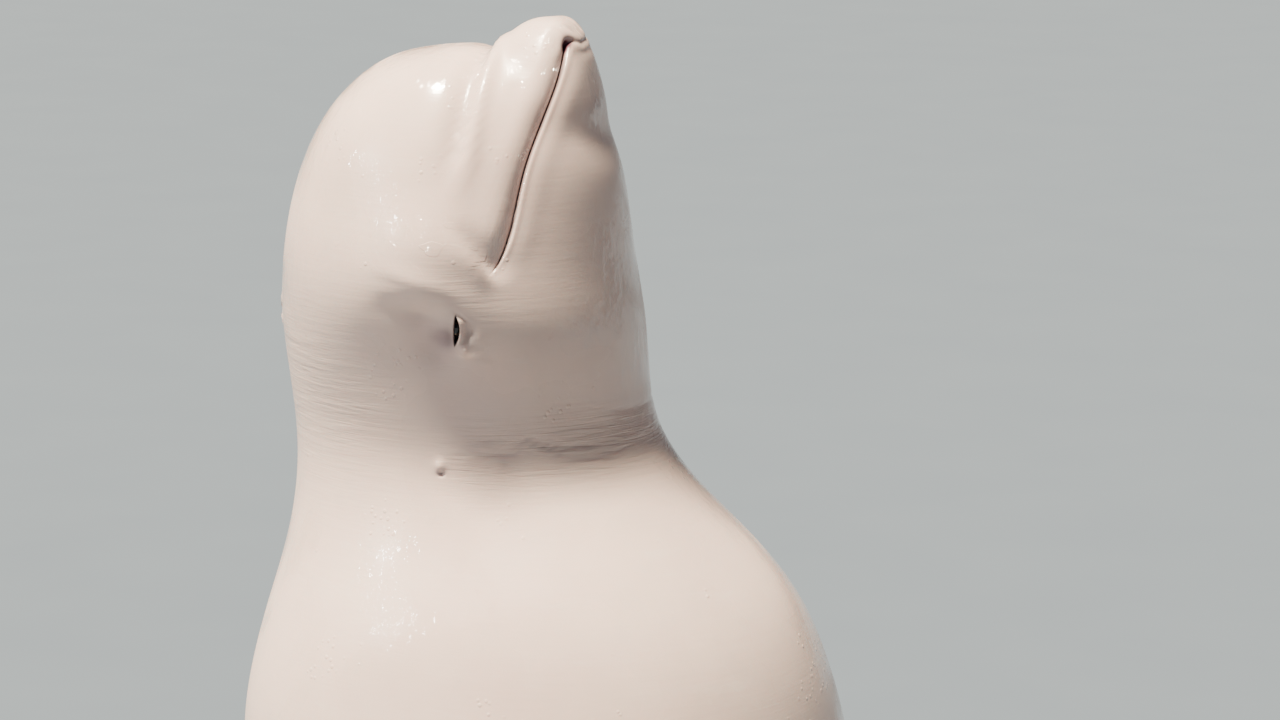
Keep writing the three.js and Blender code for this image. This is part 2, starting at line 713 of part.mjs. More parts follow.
const model = new THREE.Group();
function show(name, solid, material) {
  const { vertProperties, triVerts, numProp, numVert } = solid.getMesh();
  const positions = new Float32Array(numVert * 3);
  for (let i = 0; i < numVert; i++) positions.set(vertProperties.subarray(i * numProp, i * numProp + 3), i * 3);
  const geometry = new THREE.BufferGeometry().setAttribute("position", new THREE.BufferAttribute(positions, 3));
  geometry.setIndex(new THREE.BufferAttribute(triVerts, 1));
  geometry.computeVertexNormals();
  const mesh = new THREE.Mesh(geometry, material);
  mesh.name = name;
  model.add(mesh);
}

const { head, jaw, eyes } = headPieces();
show("head", head, skin);
show("lower_jaw", jaw, skin);
show("eye_right", eyes.right, wetDark);
show("eye_left", eyes.left, wetDark);
show("neck", largest(ahead(behind(body, CUTS.neck), CUTS.chest)), skin);
show("chest", largest(ahead(behind(body, CUTS.chest), CUTS.belly)), skin);
show("belly", largest(ahead(behind(body, CUTS.belly), CUTS.tail)), skin);
show("tail_stock", largest(behind(body, CUTS.tail)), skin);
show("dorsal_ridge", dorsalRidge(), skin);
for (const [name, hand] of [["right", -1], ["left", 1]]) {
  show("flipper_" + name, flipper(hand), skin);
  show("fluke_" + name, fluke(hand), skin);
}
show("stand_base", standBase(), paint);
for (const [name, along] of Object.entries(RODS)) {
  show("stand_rod_" + name, rod(along), steel);
  show("stand_flange_" + name, flange(along), steel);
  show("stand_pad_" + name, pad(along), felt);
}

export default model;
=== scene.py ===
"""Dress a life-size beluga whale on its display stand: seamless skin, wet eyes, painted base, steel rods."""

import logging
import math
from dataclasses import dataclass, field
from enum import Enum

import bpy
import numpy as np
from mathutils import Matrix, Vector
from numpy.typing import ArrayLike


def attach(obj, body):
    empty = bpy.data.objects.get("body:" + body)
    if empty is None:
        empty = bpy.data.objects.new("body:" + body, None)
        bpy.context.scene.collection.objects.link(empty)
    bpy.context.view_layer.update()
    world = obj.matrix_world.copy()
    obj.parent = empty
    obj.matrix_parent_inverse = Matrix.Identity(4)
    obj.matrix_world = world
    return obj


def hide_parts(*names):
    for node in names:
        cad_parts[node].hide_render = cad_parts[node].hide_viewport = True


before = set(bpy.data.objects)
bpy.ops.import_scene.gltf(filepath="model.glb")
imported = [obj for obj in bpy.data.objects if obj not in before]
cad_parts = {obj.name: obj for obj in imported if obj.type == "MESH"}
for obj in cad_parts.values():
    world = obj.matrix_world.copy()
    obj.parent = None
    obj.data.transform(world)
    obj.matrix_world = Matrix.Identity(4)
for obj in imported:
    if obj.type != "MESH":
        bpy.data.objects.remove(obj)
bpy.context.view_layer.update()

log = logging.getLogger("beluga")
MM = 0.001

Colour = tuple[float, float, float, float]
Triple = tuple[float, float, float]
Faces = list[tuple[int, ...]]
Masks = dict[str, np.ndarray]


class Hand(Enum):
    """The whale's two sides, as the sign of Y."""

    RIGHT = -1
    LEFT = 1


# Curves that the body is drawn with


def smoothstep(x: np.ndarray, low: float, high: float) -> np.ndarray:
    """Ease from 0 at low to 1 at high."""
    share = np.clip((x - low) / (high - low), 0.0, 1.0)
    return share * share * (3.0 - 2.0 * share)


def bump(distance: np.ndarray, reach: float) -> np.ndarray:
    """A soft bump that has faded to about a third at the given reach."""
    return np.exp(-((distance / reach) ** 2))


def lean(x: np.ndarray, middle: float, stretch: float) -> np.ndarray:
    """Distance from a middle, shrunk above it, so that a bump on it is steep below and long above."""
    return np.where(x > middle, (x - middle) / stretch, x - middle)


@dataclass(frozen=True)
class Swell:
    """A soft round swelling of the skin, or a hollow where its height is below 0.

    Its height, place and reach are in mm. Wide and tall stretch it along the body and across.
    """

    height: float
    along: float
    up: float
    reach: float
    wide: float = 1.0
    tall: float = 1.0

    def over(self, a: np.ndarray, u: np.ndarray) -> np.ndarray:
        """Its height over each place of the whale's side."""
        off = np.hypot((a - self.along) / self.wide, (u - self.up) / self.tall)
        return self.height * bump(off, self.reach)


def heap(swells: tuple[Swell, ...], a: np.ndarray, u: np.ndarray) -> np.ndarray:
    """The sum of several swellings over each place of the whale's side."""
    return sum(swell.over(a, u) for swell in swells)


class Spline:
    """A natural cubic spline through knots."""

    def __init__(self, knots: ArrayLike, values: ArrayLike) -> None:
        """Solve the spline's bends.

        Args:
            knots: rising knot places.
            values: the value at each knot.
        """
        self.knots = np.asarray(knots, float)
        self.values = np.asarray(values, float)
        count = len(self.knots)
        gaps = np.diff(self.knots)
        slopes = np.diff(self.values) / gaps
        matrix = np.eye(count)
        right = np.zeros(count)
        for i in range(1, count - 1):
            matrix[i, i - 1 : i + 2] = gaps[i - 1], 2 * (gaps[i - 1] + gaps[i]), gaps[i]
            right[i] = 6 * (slopes[i] - slopes[i - 1])
        self.bends = np.linalg.solve(matrix, right)

    def __call__(self, x: np.ndarray) -> np.ndarray:
        """The spline's value at x.

        Args:
            x: places between the knots.

        Returns:
            The value at each place.
        """
        x = np.asarray(x, float)
        i = np.clip(np.searchsorted(self.knots, x, side="left") - 1, 0, len(self.knots) - 2)
        gap = self.knots[i + 1] - self.knots[i]
        a = (self.knots[i + 1] - x) / gap
        b = 1.0 - a
        curve = ((a**3 - a) * self.bends[i] + (b**3 - b) * self.bends[i + 1]) * gap * gap / 6
        return a * self.values[i] + b * self.values[i + 1] + curve


class Easing:
    """Eased steps from knot to knot, which never overshoot."""

    def __init__(self, profile: list[tuple[float, float]]) -> None:
        """Keep the profile's knots and values."""
        self.knots = np.array([p[0] for p in profile], float)
        self.values = np.array([p[1] for p in profile], float)

    def __call__(self, x: np.ndarray) -> np.ndarray:
        """The eased value at x.

        Args:
            x: places along the profile.

        Returns:
            The value at each place.
        """
        x = np.asarray(x, float)
        i = np.clip(np.searchsorted(self.knots, x, side="left") - 1, 0, len(self.knots) - 2)
        share = np.clip((x - self.knots[i]) / (self.knots[i + 1] - self.knots[i]), 0, 1)
        return self.values[i] + (self.values[i + 1] - self.values[i]) * share * share * (3 - 2 * share)


# The body's form, in mm: along from the mouth's front, up to the back, side from the mid-plane


@dataclass
class Spine:
    """The spine's curve, which bends the straight whale into its pose."""

    snout_x: float = 60.0
    snout_z: float = 3945.0
    start: float = -60.0
    end: float = 4200.0
    step: float = 2.0
    # Places along the body, and how far the spine leans there, in degrees
    posture: tuple[tuple[float, float], ...] = (
        (-20, -14), (230, -14), (400, -6), (560, 4), (760, 11), (1000, 11.5),
        (1400, 7), (1900, -2), (2400, -12), (2900, -22), (3400, -31), (3960, -38),
    )

    def __post_init__(self) -> None:
        """Walk down the spine once and keep its points."""
        self.angle = Spline(*np.array(self.posture, float).T)
        self.places = np.arange(self.start, self.end, self.step)
        angles = np.radians(self.angle(self.places + self.step / 2))
        x = np.concatenate([[0], np.cumsum(np.sin(angles) * self.step)])[:-1]
        z = np.concatenate([[0], np.cumsum(-np.cos(angles) * self.step)])[:-1]
        zero = int(round(-self.start / self.step))
        self.x = x - x[zero] + self.snout_x
        self.z = z - z[zero] + self.snout_z

    def bend(self, points: np.ndarray) -> np.ndarray:
        """Pose points of the straight whale.

        Args:
            points: array of (along, up, side) in mm.

        Returns:
            Array of world (x, y, z) in metres.
        """
        along, up, side = points[..., 0], points[..., 1], points[..., 2]
        angle = np.radians(self.angle(along))
        x = np.interp(along, self.places, self.x) - np.cos(angle) * up
        z = np.interp(along, self.places, self.z) - np.sin(angle) * up
        return np.stack([x, side, z], -1) * MM


@dataclass
class FinPlan:
    """A fin's outline on its own plan, as two cubic curves, with its thickness and curl."""

    leading: list[tuple[float, float]]
    trailing: list[tuple[float, float]]
    root_thickness: float
    tip_thickness: float
    fullness: float
    lift_base: float
    lift_tip: float
    lift_power: float

    @staticmethod
    def curve(points: list[tuple[float, float]], share: np.ndarray) -> np.ndarray:
        """Points of a cubic curve.

        Args:
            points: the curve's four control points.
            share: shares of its length, from 0 to 1.

        Returns:
            Array (..., 2) of the points at those shares.
        """
        p = np.array(points, float)
        s = np.asarray(share, float)[..., None]
        return p[0] * (1 - s) ** 3 + 3 * p[1] * s * (1 - s) ** 2 + 3 * p[2] * s * s * (1 - s) + p[3] * s**3

    def plan(self, share: np.ndarray, chord: np.ndarray) -> np.ndarray:
        """Places on the fin's plan.

        Args:
            share: share of the span, from the root to the tip.
            chord: share of the chord, from the leading to the trailing edge.

        Returns:
            Array (..., 2) of the places.
        """
        front = self.curve(self.leading, share)
        rear = self.curve(self.trailing, share)
        return front + (rear - front) * np.asarray(chord, float)[..., None]

    def half(self, share: np.ndarray, chord: np.ndarray) -> np.ndarray:
        """Half the fin's thickness.

        Args:
            share: share of the span, from the root to the tip.
            chord: share of the chord, from the leading to the trailing edge.

        Returns:
            The half thickness at each place, in mm.
        """
        full = self.root_thickness * np.clip(1 - share, 0, 1) ** self.fullness + self.tip_thickness
        root = np.sqrt(np.clip(chord, 0, 1))
        return full * 1.35 * root * np.clip(1 - chord, 0, 1) ** 0.9 + 1.6 * root

    def lift(self, share: np.ndarray) -> np.ndarray:
        """How far the fin curls out of its plan."""
        return self.lift_base + self.lift_tip * share**self.lift_power


FLUKE = FinPlan(
    leading=[(0, 3548), (165, 3640), (425, 3760), (478, 3972)],
    trailing=[(0, 3962), (50, 4075), (335, 4085), (478, 3972)],
    root_thickness=54,
    tip_thickness=7,
    fullness=1.15,
    lift_base=13,
    lift_tip=34,
    lift_power=2,
)
FLIPPER = FinPlan(
    leading=[(-90, -96), (95, -168), (395, -150), (472, 22)],
    trailing=[(-90, 92), (110, 150), (420, 205), (472, 22)],
    root_thickness=58,
    tip_thickness=11,
    fullness=0.9,
    lift_base=0,
    lift_tip=30,
    lift_power=3,
)


@dataclass
class Form:
    """The body's sections along its length, and the soft forms of the head that lie on them."""

    body_end: float = 3950.0
    mouth_end: float = 272.0
    eye_along: float = 350.0
    eye_up: float = 19.0
    blowhole_along: float = 398.0
    ear_along: float = 531.0
    # Each station: along and up of the back, along and up of the belly, and the half width
    stations: tuple[tuple[float, ...], ...] = (
        (-8, 0, -8, 0, 0),
        (-16, 17, -2, -12, 31),
        (-15, 42, 15, -26, 52),
        (0, 66, 38, -41, 70),
        (27, 90, 60, -54, 87),
        (51, 144, 82, -64, 107),
        (83, 211, 107, -76, 130),
        (122, 249, 137, -96, 150),
        (180, 279, 187, -120, 172),
        (258, 295, 258, -147, 191),
        (345, 294, 340, -174, 203),
        (430, 280, 425, -189, 186),
        (520, 267, 510, -205, 174),
        (610, 285, 600, -244, 206),
        (700, 332, 690, -296, 264),
        (800, 380, 795, -350, 308),
        (1000, 411, 1000, -381, 350),
        (1250, 416, 1250, -392, 373),
        (1550, 408, 1550, -396, 378),
        (1900, 380, 1900, -378, 352),
        (2300, 318, 2300, -326, 285),
        (2700, 249, 2700, -252, 202),
        (3050, 197, 3050, -182, 134),
        (3350, 158, 3350, -126, 90),
        (3600, 114, 3600, -82, 68),
        (3780, 68, 3780, -40, 56),
        (3900, 36, 3900, -10, 42),
        (3950, 13, 3950, 13, 0),
    )
    brow: tuple[Swell, ...] = (Swell(16, 268, 74, 54, tall=1 / 0.85), Swell(-3, 245, 190, 55))
    brow_wet: Swell = Swell(0.9, 258, 92, 48, tall=1 / 0.8)
    behind_eye: tuple[Swell, ...] = (Swell(-8, 398, 88, 52, tall=1 / 0.8), Swell(-5, 425, -20, 60))
    behind_eye_shade: Swell = Swell(0.30, 440, 10, 66, tall=2.2)
    ear_mound: Swell = Swell(3.6, 525, 35, 7.5)
    ear_dot: Swell = Swell(-4.5, 534.5, 34, 2.3, tall=1.7)
    ear_shade: Swell = Swell(1.0, 534.5, 34, 2.6, tall=1.7)
    lid_swells: tuple[Swell, ...] = (
        Swell(5, 0, 0, 34, tall=1 / 1.2),
        Swell(-6.5, 36, 22, 17, wide=1.2, tall=1.5),
        Swell(-5.5, 8, 36, 27, wide=1 / 0.9),
        Swell(-5.0, 1, -15, 5.5, wide=1.9),
        Swell(6.5, 24, -13, 8.5),
        Swell(3.0, 10, -24, 5, wide=1.6),
    )
    lid_shades: tuple[Swell, ...] = (
        Swell(1.0, 12, 14, 14, tall=1.1),
        Swell(0.40, -2, -15, 7, wide=2),
        Swell(0.30, 34, 24, 17, wide=1.1, tall=1.7),
        Swell(0.28, 6, 36, 30, tall=1.3),
    )
    # Painted shade in the pocket at the corner of the eye's slit
    lid_corner: Swell = Swell(0.45, 8, 7, 8, wide=1.8)
    eye_lines: tuple[Swell, ...] = (
        Swell(-1.8, 312, 98, 5, tall=24 / 5),
        Swell(-2.2, 342, 62, 6, tall=15 / 6),
        Swell(-2.0, 352, 74, 5, wide=2.2),
    )
    eye_wrinkles: Swell = Swell(0.25, 350, 20, 60, tall=1 / 1.2)

    def __post_init__(self) -> None:
        """Make the outline splines and the easings."""
        s = np.array(self.stations, float)
        back = np.hypot(np.diff(s[:, 0]), np.diff(s[:, 1]))
        belly = np.hypot(np.diff(s[:, 2]), np.diff(s[:, 3]))
        self.ring_at = np.concatenate([[0], np.cumsum((back + belly) / 2)])
        self.ring_end = self.ring_at[-1]
        self.outline_along = self._outline(s[:, 0], s[:, 2])
        self.outline_up = self._outline(s[:, 1], s[:, 3])
        knots = np.concatenate([-self.ring_at[:0:-1], self.ring_at])
        self.half_width = Spline(knots, np.concatenate([-s[:0:-1, 4], s[:, 4]]))
        self.widest = Easing([(-10, 0.57), (60, 0.56), (200, 0.5), (500, 0.51), (1500, 0.52), (3950, 0.48)])
        self.keel = Easing(
            [(-10, 0.88), (150, 0.92), (400, 1), (2200, 1.02), (3200, 1.3), (3700, 1.25), (3950, 1)]
        )
        self.face_line = Spline(
            [-10, 15, 60, 150, 268, 350, 440, 531, 660, 820, 1300, 2300, 3950],
            [0, -8, -12, -12, -13, 19, 29, 33, 16, -14, -20, -5, 13],
        )
        self.dense_line = Spline(
            [-10, 15, 60, 150, 245, 268, 285, 305, 327, 350, 374, 400, 440, 531, 660, 820, 1300, 2300, 3950],
            [0, -8, -12, -12, -14, -13, -2, 13, 21, 18, 16, 21, 29, 33, 16, -14, -20, -5, 13],
        )
        self.mean_rings = np.linspace(0, self.ring_end, 6000)
        self.mean_along = (self.outline_along(self.mean_rings) + self.outline_along(-self.mean_rings)) / 2

    def _outline(self, back: np.ndarray, belly: np.ndarray) -> Spline:
        """One outline that runs smoothly round the snout and round the tail's end.

        Args:
            back: the stations' values on the back, along or up.
            belly: the same on the belly.

        Returns:
            The outline's value by ring. Rings above 0 lie on the back, and rings below 0 on the belly.
        """
        knots = np.concatenate([-self.ring_at[:0:-1], self.ring_at])
        values = np.concatenate([belly[:0:-1], back])
        beyond = 2 * self.ring_end - self.ring_at[-2]
        knots = np.concatenate([[-beyond], knots, [beyond]])
        values = np.concatenate([[back[-2]], values, [belly[-2]]])
        return Spline(knots, values)

    def section(self, ring: np.ndarray) -> dict[str, np.ndarray]:
        """The sections' sizes and shapes.

        Args:
            ring: ring parameter of each section.

        Returns:
            Back and belly points, depth, half width, widest level's share, keel and middle, by name.
        """
        back = np.stack([self.outline_along(ring), self.outline_up(ring)], -1)
        belly = np.stack([self.outline_along(-ring), self.outline_up(-ring)], -1)
        middle = (back[..., 0] + belly[..., 0]) / 2
        return {
            "back": back,
            "belly": belly,
            "depth": back[..., 1] - belly[..., 1],
            "half": np.maximum(self.half_width(ring), 0),
            "share": self.widest(middle),
            "keel": self.keel(middle),
            "middle": middle,
        }

    def points(self, ring: np.ndarray, angle: np.ndarray) -> np.ndarray:
        """Points of the plain sections.

        Args:
            ring: ring parameter of each row, shape (rows,).
            angle: angle from the back to the belly, shape (rows, columns).

        Returns:
            Array (rows, columns, 3) of along, up and side.
        """
        s = self.section(ring)
        cosine = np.cos(angle)
        share = s["share"][:, None]
        fall = np.where(cosine >= 0, share * (1 - cosine), share + (share - 1) * cosine)
        along = s["back"][:, None, 0] + (s["belly"] - s["back"])[:, None, 0] * fall
        up = s["back"][:, None, 1] - s["depth"][:, None] * fall
        side = s["half"][:, None] * np.clip(np.sin(angle), 0, 1) ** s["keel"][:, None]
        return np.stack([along, up, side], -1)

    def face_angle(self, ring: np.ndarray, line: Spline | None = None) -> np.ndarray:
        """The angle at which each section reaches a line along the side.

        Args:
            ring: ring parameter of each section.
            line: the line's level along the body; the face line of mouth, eye and ear if None.

        Returns:
            The angle from the back, one per ring.
        """
        s = self.section(ring)
        level = (line or self.face_line)(s["middle"])
        depth = np.maximum(s["depth"], 1e-6)
        fall = np.clip((s["back"][..., 1] - level) / depth, 0.1, 0.9)
        cosine = np.where(fall <= s["share"], 1 - fall / s["share"], (s["share"] - fall) / (1 - s["share"]))
        return np.where(s["depth"] < 1, np.pi / 2, np.arccos(np.clip(cosine, -1, 1)))

    def ring_of(self, along: float) -> float:
        """The ring whose middle lies at a place along the body."""
        return float(np.interp(along, self.mean_along, self.mean_rings))

    def face_ring(self, along: float) -> float:
        """Find the ring that meets the face line at a place along the body.

        Args:
            along: the place, in mm.

        Returns:
            The ring's parameter.
        """
        low, high = 0.0, float(self.ring_end)
        for _ in range(40):
            mid = (low + high) / 2
            ring = np.array([mid])
            if self.points(ring, self.face_angle(ring)[:, None])[0, 0, 0] < along:
                low = mid
            else:
                high = mid
        return (low + high) / 2

    def height(self, along: np.ndarray, side: np.ndarray, lower: np.ndarray) -> np.ndarray:
        """Find the surface over places on the plan.

        Args:
            along: places along the body.
            side: places from the mid-plane; beyond the sides, the widest level is found.
            lower: true where the belly's surface is meant, and false for the back's.

        Returns:
            Up of the surface, in mm.
        """
        ring = np.interp(along, self.mean_along, self.mean_rings)
        s = self.section(ring)
        half = np.maximum(s["half"], 1e-3)
        sine = np.clip(side / half, 0, 1) ** (1 / s["keel"])
        cosine = np.sqrt(1 - sine * sine)
        cosine = np.where(along > self.body_end, 0, cosine)
        fall = np.where(lower, s["share"] + (1 - s["share"]) * cosine, s["share"] * (1 - cosine))
        return s["back"][..., 1] - s["depth"] * fall

    def relief(self, p: np.ndarray) -> tuple[np.ndarray, Masks]:
        """The soft forms on the plain sections.

        Args:
            p: array (..., 3) of along, up and side.

        Returns:
            The lift outwards in mm, and the masks that the skin's finish reads.
        """
        a, u, side = p[..., 0], p[..., 1], p[..., 2]
        lift = np.zeros_like(a)
        # Four masks paint shade into the skin's colour: the gape, whose dark red is partly the mouth's
        # lining, the seam, the eye's slit and the folds; wet and wrinkle change only gloss and relief
        masks = {name: np.zeros_like(a) for name in ("gape", "seam", "lid", "crease", "wet", "wrinkle")}
        head = (self._lips, self._forehead, self._cheek, self._eye, self._blowhole, self._ear)
        for part in (*head, self._neck, self._trunk):
            raised, marks = part(a, u, side)
            lift += raised
            for name, values in marks.items():
                masks[name] += values
        return lift, {name: np.clip(values, 0, 1) for name, values in masks.items()}

    def _lips(self, a: np.ndarray, u: np.ndarray, side: np.ndarray) -> tuple[np.ndarray, Masks]:
        """The mouth's long seam with its small gape at the front, and the lips on both sides of it.

        Args:
            a: places along the body.
            u: their heights.
            side: their distances from the mid-plane.

        Returns:
            The lift in mm, and the marks.
        """
        # The upper lip droops at the mouth's front, and is shut in its middle with the gape beside it
        droop = 10.5 * (1 - smoothstep(a, 2, 26)) * (1 - smoothstep(side, 10, 54))
        tip = (1 - smoothstep(a, 0, 22)) * (1 - smoothstep(side, 20, 62))
        front = 1 - smoothstep(a, 4, 24)
        mouth = 1 - smoothstep(a, self.mouth_end - 18, self.mouth_end + 4)
        lip = 1 - smoothstep(a, self.mouth_end - 50, self.mouth_end + 12)
        gape = (1 - smoothstep(a, 0, 11)) * bump(side - 47, 11)
        shut = 1 - 0.9 * tip * (1 - smoothstep(side, 26, 44))

        # Distance above the seam, and the same with everything below it at 0
        d = u - self.face_line(a) + droop
        above = np.maximum(d, 0)
        lift = mouth * (-4.5 * shut * bump(d, 1.0 + 0.7 * front) - 5 * gape * bump(d - 0.8, 2.6))
        lift += lip * (
            -(5.0 - 2.4 * front) * shut * bump(above, 9 - 3 * front) * smoothstep(d, -2, 0.4)
            + 2.8 * bump(d - 26, 13)
            + 0.9 * bump(d + 3.8, 3.0)
            + 1.2 * bump(d + 17, 12)
        )
        lift += -1.2 * bump(d + 1, 4.5) * front
        step = 0.9 * smoothstep(d, -1, 1) * bump(d, 8)
        lift += tip * (4.4 * bump(d - 12, 16) + step - 1.0 * bump(d + 8, 9))
        # Painted shade: the gape's dark red is the mouth's lining darkened as shade, the seam is a painted
        # shadow line, and a band just above the seam is painted shade under the rolled upper lip
        return lift, {
            "gape": mouth * np.clip(front * shut * bump(d, 2.6) + gape * bump(d - 0.5, 4.5), 0, 1),
            "seam": mouth * np.clip((1 - front) * bump(d, 1.7) + 0.45 * (1 - shut) * bump(d, 1.3), 0, 1),
            "crease": 0.5 * lip * shut * bump(above, 8.5) * smoothstep(d, -2, 0),
            "wet": 0.7 * lip * bump(d - 10, 10),
        }

    def _forehead(self, a: np.ndarray, u: np.ndarray, side: np.ndarray) -> tuple[np.ndarray, Masks]:
        """The groove between the forehead and the upper lip, the brow, and the hollow behind the eye.

        Args:
            a: places along the body.
            u: their heights.
            side: their distances from the mid-plane.

        Returns:
            The lift in mm, and the marks.
        """
        over = u - np.maximum(66, 94 - 0.19 * a)
        fade = (1 - smoothstep(a, 120, 215)) * smoothstep(a, 4, 40)
        groove = fade * (-9 * bump(lean(over, 8, 2.4), 7.5) + 5.5 * bump(over + 8, 9))
        # Painted shade in the groove's hollow, and a broad patch of painted shade on the neck's side behind
        # and below the eye
        shade = self.behind_eye_shade.over(a, u) * (side > 60)
        return heap(self.brow, a, u) + groove + heap(self.behind_eye, a, u), {
            "crease": 0.22 * fade * bump(lean(over, 6, 2), 6) + shade,
            "wet": 1.2 * fade * bump(over - 2, 15) + self.brow_wet.over(a, u),
        }

    def _cheek(self, a: np.ndarray, u: np.ndarray, side: np.ndarray) -> tuple[np.ndarray, Masks]:
        """The fold that runs down the cheek to the mouth's corner.

        Args:
            a: places along the body.
            u: their heights.
            side: their distances from the mid-plane.

        Returns:
            The lift in mm, and the marks.
        """
        run = (a - 246) * 0.61 - (u - 30) * 0.79
        off = -(a - 246) * 0.79 - (u - 30) * 0.61
        window = smoothstep(run, -34, 24) * (1 - smoothstep(run, 40, 72)) * (side > 60)
        lift = window * (-6.0 * bump(lean(off, 5, 3.2), 5.5) + 2.4 * bump(off + 10, 12))
        # Painted shade along the cheek's fold
        return lift, {"crease": 0.3 * window * bump(lean(off, 5, 3), 5)}

    def _eye(self, a: np.ndarray, u: np.ndarray, side: np.ndarray) -> tuple[np.ndarray, Masks]:
        """The lids with the slit between them, and the swellings and hollows round the eye.

        Args:
            a: places along the body.
            u: their heights.
            side: their distances from the mid-plane.

        Returns:
            The lift in mm, and the marks.
        """
        on_side = side > 100

        # The eye's own axes, turned a little: x tailwards and y towards the back
        x = 0.997 * (a - self.eye_along - 2) - 0.08 * (u - self.eye_up)
        y = 0.08 * (a - self.eye_along - 2) + 0.997 * (u - self.eye_up)
        arc = 1 - (x / 18) ** 2
        rim = np.abs(y + 2.4 * np.maximum(arc, 0)) - 3.0 * arc
        corner = 1 - smoothstep(np.abs(x), 13, 21)
        lift = (
            heap(self.lid_swells, x, y)
            + heap(self.eye_lines, a, u)
            + np.where(y < -1, 2.8, 0.8) * corner * bump(rim - 3.2, 3.0)
            - 17 * (1 - smoothstep(rim, -1.6, 0.8))
            - 6.5 * bump(np.hypot((x - 10) / 1.3, lean(y, 11, 1.5)), 9)
            + (6.0 * bump(x + 46 + 0.12 * (y - 45), 17) - 6.0 * bump(x + 14, 15)) * bump(y - 46, 42)
            - 2.4 * bump(x + 19 + 0.6 * (y + 6), 2.6) * bump(y + 7, 8)
        )
        # Painted shade: the slit and the pocket at its corner near black, and soft shade in the hollows round
        # the eye
        dark = np.maximum(1 - smoothstep(rim, 0.2, 2.2), self.lid_corner.over(x, y))
        return lift * on_side, {
            "lid": dark * on_side,
            "crease": np.clip(heap(self.lid_shades, x, y), 0, 1) * on_side,
            "wet": 0.8 * bump(np.hypot(a - self.eye_along - 24, u - self.eye_up + 24), 20),
            "wrinkle": self.eye_wrinkles.over(a, u),
        }

    def _blowhole(self, a: np.ndarray, u: np.ndarray, side: np.ndarray) -> tuple[np.ndarray, Masks]:
        """The low mound on top of the head and the crescent slit in it.

        Args:
            a: places along the body.
            u: their heights.
            side: their distances from the mid-plane.

        Returns:
            The lift in mm, and the marks.
        """
        on_top = u > 200
        share = np.clip(side / 39, 0, 1.4)
        line = a - (self.blowhole_along + 20 * (0.5 - share * share))
        inside = 1 - smoothstep(share, 0.82, 1.08)
        slit = inside * bump(line, 2.6)
        mound = 3.5 * bump(np.hypot(a - self.blowhole_along, side), 50)
        lift = mound + inside * 2.2 * bump(np.abs(line) - 8, 5) - 13 * slit
        # Painted shade in the blowhole's slit
        return lift * on_top, {"crease": slit * on_top}

    def _ear(self, a: np.ndarray, u: np.ndarray, side: np.ndarray) -> tuple[np.ndarray, Masks]:
        """The ear's small dot, on a slight mound.

        Args:
            a: places along the body.
            u: their heights.
            side: their distances from the mid-plane.

        Returns:
            The lift in mm, and the marks.
        """
        on_side = side > 100
        lift = self.ear_mound.over(a, u) + self.ear_dot.over(a, u)
        # Painted shade in the ear's dot
        return on_side * lift, {"crease": on_side * self.ear_shade.over(a, u)}

    def _neck(self, a: np.ndarray, u: np.ndarray, side: np.ndarray) -> tuple[np.ndarray, Masks]:
        """Creases where the neck bends, from below the ear down to the throat.

        Args:
            a: places along the body.
            u: their heights.
            side: their distances from the mid-plane.

        Returns:
            The lift in mm, and the marks.
        """
        level = np.interp(u, [-210, -189, -126, -75, -12, 40], [512, 518, 519, 496, 507, 514])
        wave = 2.6 * np.sin(u / 9.5 + 0.4) + 1.5 * np.sin(u / 4.6 + 1.2)
        fade = (1 - smoothstep(u, -18, 22)) * smoothstep(u, -196, -150)
        breaks = [np.clip(0.5 + 0.8 * np.sin(u / 17 + shift), 0, 1) for shift in (0.3, 2.3, 4.2)]
        main = fade * breaks[0] * bump(a - level - wave, 3.2)
        upper = fade * breaks[1] * bump(a - level + 10 - wave, 3)
        lower = fade * breaks[2] * bump(a - level - 9 - wave * 0.8, 3.2)
        throat = bump(a - 462 + 0.1 * (u + 180), 5) * (1 - smoothstep(u, -172, -150))
        lift = -1.9 * main - 1.5 * upper - 1.5 * lower - 1.0 * throat
        ridges = breaks[0] * bump(a - level - wave - 5, 3) + breaks[1] * bump(a - level + 5 - wave, 3)
        below = 0.9 * bump(a - 505, 40) * (1 - smoothstep(u, -20, 60))
        behind = 0.28 * bump(a - 455, 80) * smoothstep(u, 60, 170)
        # Painted shade in the neck's creases and the fold at the throat
        return lift + 0.9 * fade * ridges, {
            "crease": np.clip(0.3 * main + 0.22 * upper + 0.22 * lower + 0.15 * throat, 0, 1),
            "wrinkle": below + behind,
        }

    def _trunk(self, a: np.ndarray, u: np.ndarray, side: np.ndarray) -> tuple[np.ndarray, Masks]:
        """The ridge along the back, soft unevenness, and the navel and slits of the belly.

        Args:
            a: places along the body.
            u: their heights.
            side: their distances from the mid-plane.

        Returns:
            The lift in mm, and the marks.
        """
        share = np.clip((a - 1960) / 630, 0, 1)
        swell = np.sin(np.pi * share) ** 0.6
        nicks = 0.14 * np.abs(np.sin(np.pi * 9 * share)) + 0.06 * np.abs(np.sin(np.pi * 23 * share + 0.6))
        tent = np.clip(1 - side / (10 + 24 * swell), 0, 1) ** 1.35
        ridge = 29 * swell * (0.8 + nicks) * tent * (u > 0)

        body = smoothstep(a, 560, 900) * (1 - smoothstep(a, 3000, 3400))
        waves = (
            np.sin(a / 71 + u / 160 + 0.7)
            + np.sin(a / 113 - side / 90 + 2.1)
            + np.sin(u / 83 + a / 210 + 4.0)
            + 0.6 * np.sin(a / 39 + side / 120 + u / 95)
        )
        fold = -5 * bump(u + 0.62 * 300 + (a - 1400) * 0.04, 26) * smoothstep(a, 800, 1050)
        fold = fold * (1 - smoothstep(a, 2000, 2400)) * (side > 60)

